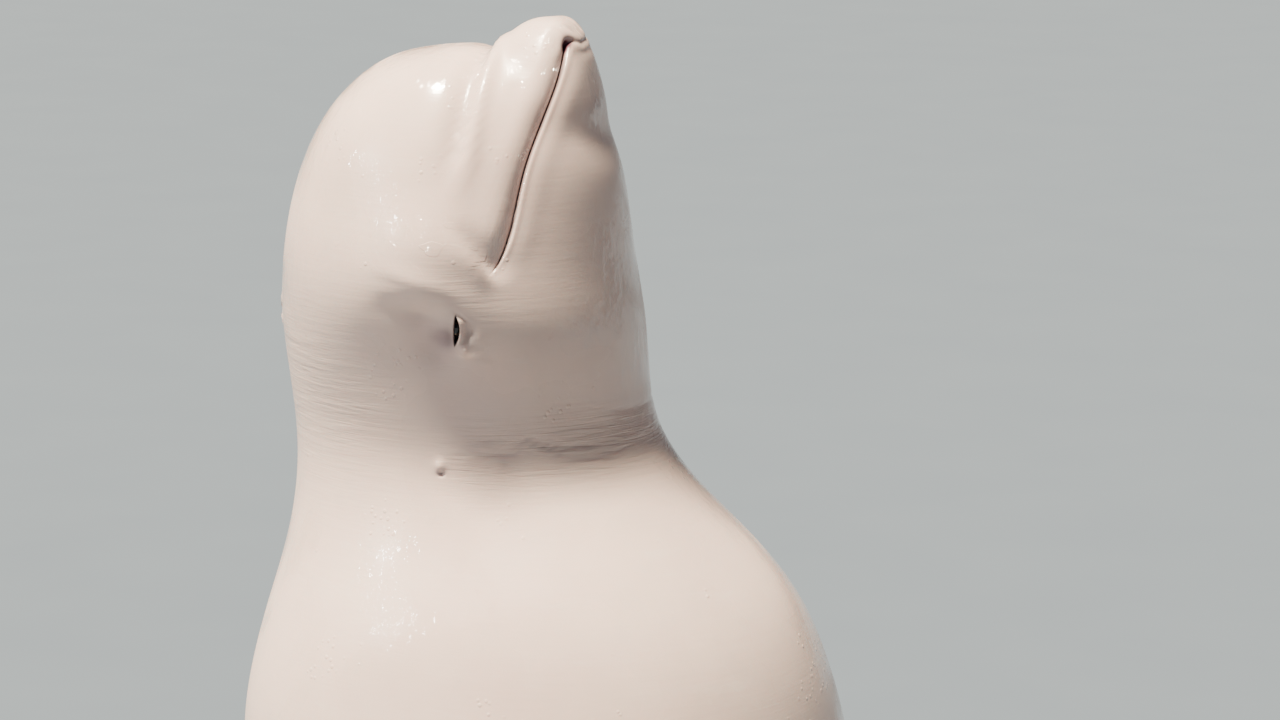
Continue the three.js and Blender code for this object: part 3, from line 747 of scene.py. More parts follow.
        low = u < 0
        navel = bump(np.hypot((a - 1850) / 1.8, side), 9) * low
        slit = bump(side, 5) * smoothstep(a, 2466, 2484) * (1 - smoothstep(a, 2590, 2608)) * low
        vent = bump(np.hypot((a - 2745) / 2.2, side), 7) * low
        lift = ridge + 0.9 * body * waves + fold - 7 * navel - 7 * slit - 6 * vent
        # Painted shade in the navel, the slit and the vent
        return lift, {"crease": 0.4 * navel + 0.5 * slit + 0.5 * vent}


# Meshes


def mesh_object(name: str, points: np.ndarray, faces: Faces, smooth: bool = True) -> bpy.types.Object:
    """Make a mesh object from points in metres.

    Args:
        name: the object's name.
        points: array (n, 3).
        faces: lists of point indices.
        smooth: whether faces shade smoothly.

    Returns:
        The new object, linked to the scene.
    """
    mesh = bpy.data.meshes.new(name)
    mesh.from_pydata(np.asarray(points, float).tolist(), [], [tuple(map(int, f)) for f in faces])
    mesh.validate()
    mesh.polygons.foreach_set("use_smooth", [smooth] * len(mesh.polygons))
    mesh.update()
    made = bpy.data.objects.new(name, mesh)
    bpy.context.scene.collection.objects.link(made)
    return made


def outward(points: np.ndarray, faces: Faces) -> Faces:
    """Turn every face round if the closed surface encloses a negative volume.

    Args:
        points: array (n, 3).
        faces: the faces of a closed surface.

    Returns:
        The faces, pointing outwards.
    """
    corners = np.array([(f[0], f[k], f[k + 1]) for f in faces for k in range(1, len(f) - 1)])
    a, b, c = (points[corners[:, k]] for k in range(3))
    volume = float((a * np.cross(b, c)).sum())
    return faces if volume > 0 else [tuple(reversed(f)) for f in faces]


def loft(rings: list[np.ndarray], closed_ends: bool = True) -> tuple[np.ndarray, Faces]:
    """Join rings of equal length into a tube.

    Args:
        rings: arrays (count, 3) of the same length.
        closed_ends: whether both ends are closed, by a point in their middle.

    Returns:
        The points and the faces.
    """
    count = len(rings[0])
    points = np.concatenate(rings)
    faces = []
    for k in range(len(rings) - 1):
        base = k * count
        for i in range(count):
            j = (i + 1) % count
            faces.append((base + i, base + j, base + count + j, base + count + i))
    if closed_ends:
        first = len(points)
        points = np.concatenate([points, [rings[0].mean(0)], [rings[-1].mean(0)]])
        last = (len(rings) - 1) * count
        for i in range(count):
            j = (i + 1) % count
            faces.append((first, j, i))
            faces.append((first + 1, last + i, last + j))
    return points, faces


@dataclass
class WhaleSkin:
    """The whole whale's skin as one closed surface, from the lips to the flukes and the flippers' tips."""

    form: Form
    spine: Spine
    half_columns: int = 48
    head_crowding: float = 1.12
    body_crowding: float = 1.2
    tail_crowding: float = 1.1
    tail_rows: int = 64
    fan_start: float = 3380.0
    fan_full: float = 3560.0
    notch: float = 3962.0
    join_width: float = 34.0
    flipper_along: float = 990.0
    flipper_angle: float = math.radians(115)
    flipper_reach: tuple[float, float, float] = (0.66, -0.22, 0.72)
    flipper_pitch: float = math.radians(-12)
    flipper_hole: tuple[float, float] = (872.0, 1158.0)
    flipper_hole_half: float = 76.0
    flipper_spans: int = 36
    fillet_steps: int = 8
    fillet_pull: float = 0.42
    flipper_foot: float = 0.3
    tip_crowding: float = 1.5
    nodes: tuple[str, ...] = (
        "head",
        "lower_jaw",
        "neck",
        "chest",
        "belly",
        "tail_stock",
        "dorsal_ridge",
        "flipper_right",
        "flipper_left",
        "fluke_right",
        "fluke_left",
    )

    # Distances in mm of the columns beside the face line on the head
    NEAR_FACE = (0.7, 1.5, 2.4, 3.5, 4.8, 6.4, 8.4, 10.8, 13.6, 17)

    def build(self) -> bpy.types.Object:
        """Build the skin's mesh with its masks.

        Returns:
            The skin object.
        """
        straight, masks, normals = self._grid()
        rows, columns = straight.shape[0], straight.shape[1]
        ring = 2 * (columns - 1)
        order = [(j, 1) for j in range(columns)] + [(columns - 1 - m, -1) for m in range(1, columns - 1)]
        index = np.arange(rows * ring).reshape(rows, ring) + 1
        tip = np.array([[self.form.stations[0][0], 0.0, 0.0]])
        lift, tip_masks = self.form.relief(tip)
        out = normals[0].mean(0) * (1, 1, 0)
        points = [tip + out / np.linalg.norm(out) * lift[0]]
        mask_rows = {name: [tip_masks[name]] for name in masks}
        normal_rows = []
        for i in range(rows):
            points.append(np.array([straight[i, j] * (1, 1, hand) for j, hand in order]))
            normal_rows.append(np.array([normals[i, j] * (1, 1, hand) for j, hand in order]))
            for name, values in masks.items():
                mask_rows[name].append(np.array([values[i, j] for j, _ in order]))
        points = np.concatenate(points)
        values = {name: np.concatenate(parts) for name, parts in mask_rows.items()}

        holes = self._holes(straight)
        faces = self._body_faces(index, holes)
        for hand, (i0, i1, k0, k1) in holes.items():
            loop = [(i0, k) for k in range(k0, k1)]
            loop += [(i, k1) for i in range(i0, i1)]
            loop += [(i1, k) for k in range(k1, k0, -1)]
            loop += [(i, k0) for i in range(i1, i0, -1)]
            ids = np.array([index[i, k % ring] for i, k in loop])
            out = np.array([normal_rows[i][k % ring] for i, k in loop])
            extra, joins = self._flipper(points[ids], out, ids, len(points), hand.value)
            points = np.concatenate([points, extra])
            for name in values:
                values[name] = np.concatenate([values[name], np.zeros(len(extra))])
            faces += joins

        world = self.spine.bend(points)
        skin = mesh_object("whale_skin", world, outward(world, faces))
        for name, numbers in values.items():
            layer = skin.data.attributes.new(name, "FLOAT", "POINT")
            layer.data.foreach_set("value", numbers.astype(np.float32))
        return skin

    def dress(self, material: bpy.types.Material) -> None:
        """Build the skin and give it its finish and its place in the frame."""
        dress_piece(self.build(), material, "skin", *self.nodes)

    @staticmethod
    def _body_faces(index: np.ndarray, holes: dict[Hand, tuple[int, int, int, int]]) -> Faces:
        """Join the rings of points: the fan at the snout, the rows, and the flukes' rear edge.

        Args:
            index: array (rows, ring) of point indices.
            holes: rows and ring columns that are left open for the flippers.

        Returns:
            The faces.
        """
        rows, ring = index.shape
        faces = [(0, index[0, (k + 1) % ring], index[0, k]) for k in range(ring)]
        for i in range(rows - 1):
            for k in range(ring):
                if any(i0 <= i < i1 and k0 <= k < k1 for i0, i1, k0, k1 in holes.values()):
                    continue
                n = (k + 1) % ring
                faces.append((index[i, k], index[i, n], index[i + 1, n], index[i + 1, k]))
        last = index[-1]
        half = ring // 2
        middle = half // 2
        for j in range(middle - 1):
            faces.append((last[j], last[j + 1], last[half - j - 1], last[half - j]))
            m = [(ring - v) % ring for v in (j, j + 1, half - j - 1, half - j)]
            faces.append((last[m[3]], last[m[2]], last[m[1]], last[m[0]]))
        faces.append((last[middle - 1], last[middle], last[middle + 1]))
        faces.append((last[ring - middle - 1], last[ring - middle], last[ring - middle + 1]))
        return faces

    def _rings(self) -> np.ndarray:
        """Lay out the rings down to where the flukes begin, closest round the eye, the ear and the blowhole.

        Returns:
            The rings' parameters.
        """
        form = self.form
        eye = form.face_ring(form.eye_along)
        ear = form.face_ring(form.ear_along)
        blow = float(np.interp(form.blowhole_along, form.outline_along(form.mean_rings), form.mean_rings))
        end = form.ring_of(self.fan_start)
        chest = form.ring_of(760)
        shoulder = form.ring_of(1250)
        waist = form.ring_of(1700)
        rings = [2.0]
        while rings[-1] < end:
            t = np.array(rings[-1])
            step = 1.7 + 1.6 * float(smoothstep(t, 40, 80)) + 2.0 * float(smoothstep(t, 30, 120))
            step += 7.5 * float(smoothstep(t, chest - 60, shoulder))
            step += 9 * float(smoothstep(t, shoulder, waist))
            if abs(t - eye) < 30 or abs(t - blow) < 14 or abs(t - ear) < 26:
                step = 2.2
            rings.append(rings[-1] + step)
        return np.array(rings[:-1])

    def _angles(self, ring: np.ndarray) -> np.ndarray:
        """Space the columns: closest along the face line on the head, and evenly on the body.

        Args:
            ring: ring parameter of each row.

        Returns:
            Array (rows, columns) of angles from the back to the belly.
        """
        form = self.form
        s = form.section(ring)
        line = form.face_angle(ring, form.dense_line)[:, None]
        reach = np.maximum((s["depth"] + 2 * s["half"]) / 4, 1)[:, None]
        squeeze = np.minimum(1, reach / 45)
        near = np.array(self.NEAR_FACE)[None, :] * squeeze / reach
        last = near[:, -1:]
        count = self.half_columns - len(self.NEAR_FACE)
        crowd = self.head_crowding
        upper = (line - last) * (np.arange(count) / count) ** crowd
        fall = 1 - (1 - (np.arange(1, count + 1)) / count) ** crowd
        lower = line + last + (np.pi - line - last) * fall
        clustered = np.concatenate([upper, line - near[:, ::-1], line, line + near, lower], 1)
        steps = np.arange(self.half_columns) / self.half_columns
        even_upper = line * steps**self.body_crowding
        even_lower = line + (np.pi - line) * (1 - (1 - np.append(steps[1:], 1)) ** self.body_crowding)
        even = np.concatenate([even_upper, line, even_lower], 1)
        blend = smoothstep(s["middle"], 640, 1150)[:, None]
        return clustered * (1 - blend) + even * blend

    def _grid(self) -> tuple[np.ndarray, Masks, np.ndarray]:
        """Lay out one side of the skin, straight.

        Returns:
            The points, the masks by name, and the outward directions.
        """
        form = self.form
        ring = self._rings()
        angle = self._angles(ring)
        plain = form.points(ring, angle)
        d = 0.01
        around = form.points(ring, np.minimum(angle + d, np.pi)) - form.points(ring, np.maximum(angle - d, 0))
        lengthways = form.points(np.minimum(ring + 4, form.ring_end), angle)
        lengthways = lengthways - form.points(np.maximum(ring - 4, 0), angle)
        out = np.cross(around, lengthways)
        out[:, 0, 2] = 0
        out[:, -1, 2] = 0
        out /= np.maximum(np.linalg.norm(out, axis=-1, keepdims=True), 1e-9)
        lift, masks = form.relief(plain)
        body = plain + out * lift[..., None]
        body[..., 2] = np.maximum(body[..., 2], 0)

        tail, tail_out = self._tail(ring[-1])
        skin = np.concatenate([body, tail])
        normals = np.concatenate([out, tail_out])
        shape = tail.shape[:2]
        masks = {name: np.concatenate([m, np.zeros(shape)]) for name, m in masks.items()}
        return skin, masks, normals

    def _tail(self, last_ring: float) -> tuple[np.ndarray, np.ndarray]:
        """Draw the end of the tail stock out sideways into the flukes.

        Args:
            last_ring: the last ring of the body's own rows.

        Returns:
            The points of one side and their outward directions.
        """
        form = self.form
        start = float(np.interp(last_ring, form.mean_rings, form.mean_along))
        middle = np.linspace(start, self.notch, self.tail_rows)[1:]
        ring = np.interp(middle, form.mean_along, form.mean_rings)
        angle = self._angles(np.minimum(ring, form.ring_end - 1))
        steps = np.arange(self.half_columns) / self.half_columns
        crowd = self.tail_crowding
        square = np.concatenate([steps**crowd, [1.0], 2 - (1 - np.append(steps[1:], 1)) ** crowd]) * np.pi / 2
        fan = smoothstep(middle, self.fan_start, self.fan_full)[:, None]
        angle = angle * (1 - fan) + square[None, :] * fan
        lower = angle > np.pi / 2
        s = form.section(np.minimum(ring, form.ring_end))
        across = np.clip(np.sin(angle), 0, 1) ** s["keel"][:, None]

        # The outline of the flukes' plan takes over from the tail stock as r rises from 0 to 1
        root = FLUKE.leading[0][1]
        r = np.clip((middle - root) / (self.notch - root), 0, 1)[:, None]
        reach = 0.165 + 0.835 * r**0.95
        span = reach * across
        chord = r * (1 - across ** (1.4 + 14 * r**5))
        chord[-1] = 1.0
        plan = FLUKE.plan(span, chord)
        shift = plan[..., 1] - plan[:, :1, 1]
        along = middle[:, None] + fan * shift
        side = (1 - fan) * s["half"][:, None] * across + fan * plan[..., 0]
        body = form.height(along, side, lower)
        sign = np.where(lower, -1.0, 1.0)
        wing = FLUKE.lift(span) + sign * FLUKE.half(span, chord)
        half = np.interp(along, form.mean_along, np.maximum(form.half_width(form.mean_rings), 0))

        # The flukes and the tail stock flow into each other over a soft join
        soft = self.join_width * (1 - smoothstep(side - half, -6, 70)) * fan * np.clip(r * 6, 0, 1)
        high = sign * body
        other = sign * wing
        mixed = np.maximum(high, other)
        blend = np.clip(1 - np.abs(high - other) / np.maximum(soft, 1e-6), 0, 1)
        mixed = mixed + np.maximum(soft, 0) * blend * blend / 4
        inside = (r <= 0) | (fan <= 0)
        up = np.where(inside, body, sign * mixed)
        points = np.stack([along, up, side], -1)
        out = np.stack([np.zeros_like(up), sign, np.zeros_like(up)], -1)
        return points, out

    def _holes(self, straight: np.ndarray) -> dict[Hand, tuple[int, int, int, int]]:
        """Find the patches of skin that the flippers grow from.

        Args:
            straight: array (rows, columns, 3) of one side's points.

        Returns:
            First and last row, and first and last ring column, of each side's patch.
        """
        root = self._flipper_frame()[0]
        low, high = self.flipper_hole
        column = int(np.argmin(np.abs(straight[:, :, 0].mean(1) - root[0])))
        row = straight[column]
        distance = np.hypot(row[:, 1] - root[1], row[:, 2] - root[2]) * np.sign(root[1] - row[:, 1])
        inside = np.nonzero(np.abs(distance) < self.flipper_hole_half)[0]
        j0, j1 = int(inside.min()), int(inside.max())
        along = straight[:, (j0 + j1) // 2, 0]
        i0 = int(np.searchsorted(along, low))
        i1 = int(np.searchsorted(along, high))
        ring = 2 * (straight.shape[1] - 1)
        return {Hand.LEFT: (i0, i1, j0, j1), Hand.RIGHT: (i0, i1, ring - j1, ring - j0)}

    def _flipper_frame(self) -> tuple[np.ndarray, np.ndarray, np.ndarray, np.ndarray]:
        """The axes that the left flipper is drawn on.

        Returns:
            Its root, the way it reaches, its chord and its upper face.
        """
        form = self.form
        ring = np.array([form.face_ring(self.flipper_along)])
        root = form.points(ring, np.array([[self.flipper_angle]]))[0, 0]
        out = np.array(self.flipper_reach)
        out /= np.linalg.norm(out)
        chord = np.array([1.0, 0, 0]) - out * out[0]
        chord /= np.linalg.norm(chord)
        c, s = math.cos(self.flipper_pitch), math.sin(self.flipper_pitch)
        chord = chord * c + np.cross(out, chord) * s
        face = np.cross(out, chord)
        if face[1] < 0:
            face = -face
        return root, out, chord, face

    def _flipper(
        self, rim: np.ndarray, out: np.ndarray, ids: np.ndarray, start: int, hand: int
    ) -> tuple[np.ndarray, Faces]:
        """Grow a flipper from a rim of skin points.

        Args:
            rim: the rim's points, straight.
            out: the skin's outward direction at each.
            ids: the rim's indices in the whole mesh.
            start: index of the first new point.
            hand: sign of the side.

        Returns:
            The new points, straight, and the faces that join them to the rim.
        """
        root, reach, chord, face = self._flipper_frame()
        flip = np.array([1, 1, hand])
        rim = rim * flip
        out = out * flip
        centre = rim.mean(0)
        ahead = rim[:, 0] - centre[0]
        above = rim[:, 1] - centre[1]
        turn = np.arctan2(above / np.abs(above).max(), -ahead / np.abs(ahead).max())
        turn = np.unwrap(turn)
        even = turn[0] + (turn[-1] - turn[0] + (turn[-1] - turn[-2])) * np.arange(len(turn)) / len(turn)

        def ring(share: float) -> np.ndarray:
            """The flipper's own ring at a share of its span.

            Args:
                share: share of the span, from the root to the tip.

            Returns:
                The ring's points, straight.
            """
            mix = float(smoothstep(np.array(share), 0.15, 0.5)) * 0.8
            angle = turn * (1 - mix) + even * mix
            x = (1 - np.cos(angle)) / 2
            plan = FLIPPER.plan(np.full(len(x), share), x)
            z = FLIPPER.lift(share) + np.sign(np.sin(angle)) * FLIPPER.half(share, x)
            return root + plan[:, :1] * reach + plan[:, 1:] * chord + z[:, None] * face

        first = self.flipper_foot
        foot = ring(first)
        away = ring(first + 0.03) - foot
        away /= np.linalg.norm(away, axis=1, keepdims=True)
        gap = foot - rim
        length = np.linalg.norm(gap, axis=1, keepdims=True)
        along_skin = gap - out * (gap * out).sum(1, keepdims=True)
        along_skin /= np.maximum(np.linalg.norm(along_skin, axis=1, keepdims=True), 1e-6)
        rings = []
        for k in range(1, self.fillet_steps):
            s = k / self.fillet_steps
            near_rim = rim + along_skin * length * self.fillet_pull
            near_foot = foot - away * length * self.fillet_pull
            rings.append(
                rim * (1 - s) ** 3
                + 3 * near_rim * s * (1 - s) ** 2
                + 3 * near_foot * s * s * (1 - s)
                + foot * s**3
            )
        for k in range(self.flipper_spans):
            share = first + (1 - first) * (1 - (1 - k / self.flipper_spans) ** self.tip_crowding)
            rings.append(ring(share))
        tip = ring(1.0).mean(0)
        points = np.concatenate(rings + [tip[None]]) * flip
        count = len(ids)
        faces = []
        for i in range(count):
            j = (i + 1) % count
            faces.append((ids[i], ids[j], start + j, start + i))
            for k in range(len(rings) - 1):
                base = start + k * count
                faces.append((base + i, base + j, base + count + j, base + count + i))
            last = start + (len(rings) - 1) * count
            faces.append((last + i, last + j, start + len(points) - 1))
        return points, faces


def surface_frame(
    form: Form, spine: Spine, ring: float, angle: float, hand: int
) -> tuple[np.ndarray, np.ndarray]:
    """A place on the skin and the way out of it.

    Args:
        form: the body's form.
        spine: the pose.
        ring: ring parameter.
        angle: angle from the back.
        hand: sign of the side.

    Returns:
        The place and the unit direction outwards, in metres and world axes.
    """

    def at(t: float, turn: float) -> np.ndarray:
        """A posed point of the plain section."""
        p = form.points(np.array([t]), np.array([[turn]]))[0, 0] * (1, 1, hand)
        return spine.bend(p)

    tailward = at(ring + 3, angle) - at(ring - 3, angle)
    backward = at(ring, angle - 0.02) - at(ring, angle + 0.02)
    out = np.cross(tailward, backward)
    out /= np.linalg.norm(out)
    if out[1] * hand < 0:
        out = -out
    return at(ring, angle), out


@dataclass
class Eye:
    """An eyeball behind the lids, with a dark iris and a darker pupil."""

    form: Form
    spine: Spine
    radius: float = 14.0
    sunk: float = 22.0
    mound: float = 5.0
    rings: int = 30
    columns: int = 48
    pole: float = 0.02

    def build(self, hand: Hand) -> bpy.types.Object:
        """Make the eyeball of one side.

        Args:
            hand: which side.

        Returns:
            The eyeball.
        """
        ring = self.form.face_ring(self.form.eye_along)
        angle = float(self.form.face_angle(np.array([ring]))[0])
        place, out = surface_frame(self.form, self.spine, ring, angle, hand.value)
        centre = place + out * (self.mound - self.sunk) * MM
        side = np.cross(out, (0.0, 0.0, 1.0))
        side /= np.linalg.norm(side)
        high = np.cross(side, out)
        turn = np.linspace(0, 2 * math.pi, self.columns, endpoint=False)
        circle = np.cos(turn)[:, None] * side + np.sin(turn)[:, None] * high
        rings = []
        for polar in np.linspace(self.pole, math.pi - self.pole, self.rings):
            bulge = 1 + 0.05 * math.exp(-((polar / 0.5) ** 2))
            way = math.cos(polar) * out + math.sin(polar) * circle
            rings.append(centre + self.radius * MM * bulge * way)
        points, faces = loft(rings)
        eye = mesh_object(f"eyeball_{hand.name.lower()}", points, outward(points, faces))
        layer = eye.data.attributes.new("front", "FLOAT", "POINT")
        values = ((points - centre) @ out) / (self.radius * MM)
        layer.data.foreach_set("value", np.clip(values, -1, 1).astype(np.float32))
        return eye

    def dress(self, hand: Hand, material: bpy.types.Material) -> None:
        """Build the eyeball of one side and give it its finish and its place in the frame."""
        dress_piece(self.build(hand), material, "eye", f"eye_{hand.name.lower()}")


# Stand


@dataclass
class StandSizes:
    """Sizes of the display stand, in mm."""

    length: float = 1900.0
    width: float = 1400.0
    thickness: float = 50.0
    corner: float = 130.0
    bevel: float = 8.0
    rod_radius: float = 30.0
    pad_across: float = 109.0
    pad_along: float = 88.0
    pad_thickness: float = 14.0
    flange_radius: float = 100.0
    flange_thickness: float = 14.0
    bolts: int = 6
    bolt_circle: float = 72.0
    bolt_head_radius: float = 9.0
    bolt_head_height: float = 8.0
    gap: float = 0.3
    sides: int = 72
    rods: tuple[tuple[str, float], ...] = (("front", 2260.0), ("rear", 3060.0))


@dataclass
class Stand:
    """The flat base, the two rods with their flanges and bolts, and the curved pads under the belly."""

    form: Form
    spine: Spine
    sizes: StandSizes = field(default_factory=StandSizes)

    def dress(
        self, paint: bpy.types.Material, steel: bpy.types.Material, rubber: bpy.types.Material
    ) -> None:
        """Build every piece of the stand and give it its finish and its place in the frame.

        Args:
            paint: the base board's finish.
            steel: the finish of the rods, the flanges and the bolts.
            rubber: the pads' finish.
        """
        dress_piece(self.build_base(), paint, "stand_base", "stand_base")
        for name, along in self.sizes.rods:
            dress_piece(self.build_rod(name, along), steel, "stand_steel", f"stand_rod_{name}")
            dress_piece(self.build_flange(name, along), steel, "stand_steel", f"stand_flange_{name}")
            dress_piece(self.build_pad(name, along), rubber, "stand_pad", f"stand_pad_{name}")
        dress_piece(self.build_bolts(steel), steel, "stand_steel")

    def belly_point(self, along: float) -> np.ndarray:
        """World place of the belly's underside at a place along the body."""
        up = self.form.height(np.array([along]), np.array([0.0]), np.array([True]))
        return self.spine.bend(np.array([along, float(up[0]), 0.0]))

    def offset_skin(self, along: np.ndarray, side: np.ndarray, swell: float) -> np.ndarray:
        """Points of the belly's underside, moved outwards.

        Args:
            along: places along the body, in mm.
            side: places from the mid-plane, in mm.
            swell: how far they are moved out, in mm.

        Returns:
            Array (n, 3) of world places in metres.
        """
        lower = np.ones_like(along, bool)

        def at(a: np.ndarray, s: np.ndarray) -> np.ndarray:
            """A posed point of the underside."""
            return self.spine.bend(np.stack([a, self.form.height(a, np.abs(s), lower), s], -1))

        tail = at(along + 4, side) - at(along - 4, side)
        across = at(along, side + 2) - at(along, side - 2)
        out = np.cross(tail, across)
        out /= np.linalg.norm(out, axis=-1, keepdims=True)
        belly = at(along, side)
        toward = belly - self.spine.bend(np.stack([along, np.zeros_like(along), np.zeros_like(along)], -1))
        out *= np.sign((out * toward).sum(-1, keepdims=True))
        return belly + out * swell * MM

    def build_base(self) -> bpy.types.Object:
        """Make the base board with rounded corners and eased edges.

        Returns:
            The board.
        """
        s = self.sizes
        profile = [(-450.0, 0.0), (-100.0, 0.0), (-3.0, 0.0), (0.0, 3.0), (0.0, s.thickness - s.bevel)]
        for k in range(1, 7):
            turn = math.pi / 2 * k / 6
            profile.append((-s.bevel * (1 - math.cos(turn)), s.thickness - s.bevel * (1 - math.sin(turn))))
        profile += [(-40.0, s.thickness), (-200.0, s.thickness), (-450.0, s.thickness)]
        rings = [self._outline(inset, height) for inset, height in profile]
        points, faces = loft(rings)
        return mesh_object("stand_board", points, outward(points, faces))

    def _outline(self, inset: float, height: float, steps: int = 12) -> np.ndarray:
        """The board's outline at one height.

        Args:
            inset: how far it lies outside the board's own edge, below 0 where it lies inside.
            height: the height, in mm.
            steps: points in each corner.

        Returns:
            Array (n, 3) of world places in metres.
        """
        s = self.sizes
        x = s.length / 2 + inset
        y = s.width / 2 + inset
        r = max(s.corner + inset, 20.0)
        corners = ((x - r, y - r), (r - x, y - r), (r - x, r - y), (x - r, r - y))
        points = []
        for quarter, (cx, cy) in enumerate(corners):
            for k in range(steps + 1):
                turn = math.pi / 2 * (quarter + k / steps)
                points.append((cx + r * math.cos(turn), cy + r * math.sin(turn), height))
            turn = math.pi / 2 * (quarter + 1)
            a = np.array(points[-1][:2])
            b = np.array(corners[(quarter + 1) % 4]) + r * np.array([math.cos(turn), math.sin(turn)])
            for k in range(1, 10):
                p = a + (b - a) * k / 10
                points.append((p[0], p[1], height))
        return np.array(points) * MM

    def build_rod(self, name: str, along: float) -> bpy.types.Object:
        """Make a round rod from the base to the pad under the belly, its top cut to the pad.

        Args:
            name: the rod's name.
            along: the place on the body that it carries, in mm.

        Returns:
            The rod.
        """
        s = self.sizes
        centre = self.belly_point(along)[0] / MM
        turn = np.linspace(0, 2 * math.pi, s.sides, endpoint=False)
        x = centre + s.rod_radius * np.cos(turn)
        y = s.rod_radius * np.sin(turn)
        low = np.full_like(x, along - 420.0)
        high = np.full_like(x, along + 420.0)
        swell = s.pad_thickness + s.gap
        for _ in range(40):
            mid = (low + high) / 2
            found = self.offset_skin(mid, y, swell)[:, 0] / MM
            low = np.where(found > x, mid, low)
            high = np.where(found > x, high, mid)
        top = self.offset_skin((low + high) / 2, y, swell)[:, 2] / MM
        foot = s.thickness + s.gap
        rings = []
        for share in (0.0, 0.004, 0.5, 0.9, 1.0):
            inset = 0.97 if share == 0.0 else 1.0
            z = foot + (top - foot) * share
            rings.append(np.stack([centre + (x - centre) * inset, y * inset, z], -1) * MM)
        points, faces = loft(rings)
        return mesh_object(f"stand_post_{name}", points, outward(points, faces))

    def build_pad(self, name: str, along: float) -> bpy.types.Object:
        """Make a curved pad that carries the belly on a rod, with a rounded edge.

        Args:
            name: the rod's name.
            along: the pad's place on the body, in mm.

        Returns:
            The pad.
        """
        s = self.sizes
        turn = np.linspace(0, 2 * math.pi, s.sides, endpoint=False)
        rings = []
        profile = [(k / 7, 0.0) for k in range(1, 8)]
        profile += [(1.0, 0.35), (0.995, 0.6), (0.98, 0.8), (0.955, 0.94), (0.92, 1.0)]
        profile += [(0.92 * (1 - k / 8), 1.0) for k in range(1, 8)]
        for share, height in profile:
            a = along + s.pad_along * share * np.cos(turn)
            side = s.pad_across * share * np.sin(turn)
            rings.append(self.offset_skin(a, side, s.gap + s.pad_thickness * height))
        points, faces = loft(rings)
        return mesh_object(f"stand_saddle_{name}", points, outward(points, faces))

    def build_flange(self, name: str, along: float) -> bpy.types.Object:
        """Make a turned flange that holds a rod on the base.

        Args:
            name: the rod's name.
            along: the place on the body that the rod carries, in mm.

        Returns:
            The flange.
        """
        s = self.sizes
        centre = self.belly_point(along)[0] / MM
        inner = s.rod_radius + s.gap
        foot = s.thickness + s.gap
        t = s.flange_thickness
        r = s.flange_radius
        edge = 3.0
        hollow = 11.0
        neck = inner + 20
        profile = [(inner, 0), (r - 1, 0), (r, 1), (r, t - edge)]
        for k in range(1, 5):
            turn = k * math.pi / 10
            profile.append((r - edge + edge * math.cos(turn), t - edge + edge * math.sin(turn)))
        profile += [(r - edge, t), (neck, t)]
        for k in range(1, 5):
            turn = k * 0.314
            profile.append((neck - hollow * math.sin(turn), t + hollow * (1 - math.cos(turn))))
        profile += [(inner + 8, t + 14), (inner + 6.5, t + 16), (inner, t + 16)]
        turn = np.linspace(0, 2 * math.pi, 96, endpoint=False)
        rings = [
            np.stack([centre + d * np.cos(turn), d * np.sin(turn), np.full_like(turn, foot + h)], -1) * MM
            for d, h in profile
        ]
        rings.append(rings[0])
        points, faces = loft(rings, closed_ends=False)
        count = len(turn)
        keep = len(points) - count
        faces = [tuple(i - keep if i >= keep else i for i in f) for f in faces]
        return mesh_object(f"stand_collar_{name}", points[:keep], outward(points[:keep], faces))

    def build_bolts(self, material: bpy.types.Material) -> bpy.types.Object:
        """Make hexagon bolts with washers round each flange, set out by Geometry Nodes.

        Args:
            material: the finish of the bolts.

        Returns:
            All the bolts as one plain mesh.
        """
        s = self.sizes
        centres = [self.belly_point(along)[0] for _, along in s.rods]
        seed = bpy.data.meshes.new("bolt_circles")
        seed.from_pydata([(c, 0.0, (s.thickness + s.gap + s.flange_thickness) * MM) for c in centres], [], [])
        circles = bpy.data.objects.new("bolt_circles", seed)
        bpy.context.scene.collection.objects.link(circles)
        tree = bolt_circle_tree(material)
        modifier = circles.modifiers.new("bolts", "NODES")
        modifier.node_group = tree
        sizes = {
            "Count": s.bolts,
            "Circle Radius": s.bolt_circle * MM,
            "Head Radius": s.bolt_head_radius * MM,
            "Head Height": s.bolt_head_height * MM,
        }
        for item in tree.interface.items_tree:
            if item.item_type == "SOCKET" and item.in_out == "INPUT" and item.name in sizes:
                modifier[item.identifier] = sizes[item.name]
        graph = bpy.context.evaluated_depsgraph_get()
        mesh = bpy.data.meshes.new_from_object(circles.evaluated_get(graph))
        bpy.data.objects.remove(circles)
        made = bpy.data.objects.new("stand_bolts", mesh)
        bpy.context.scene.collection.objects.link(made)
        return made


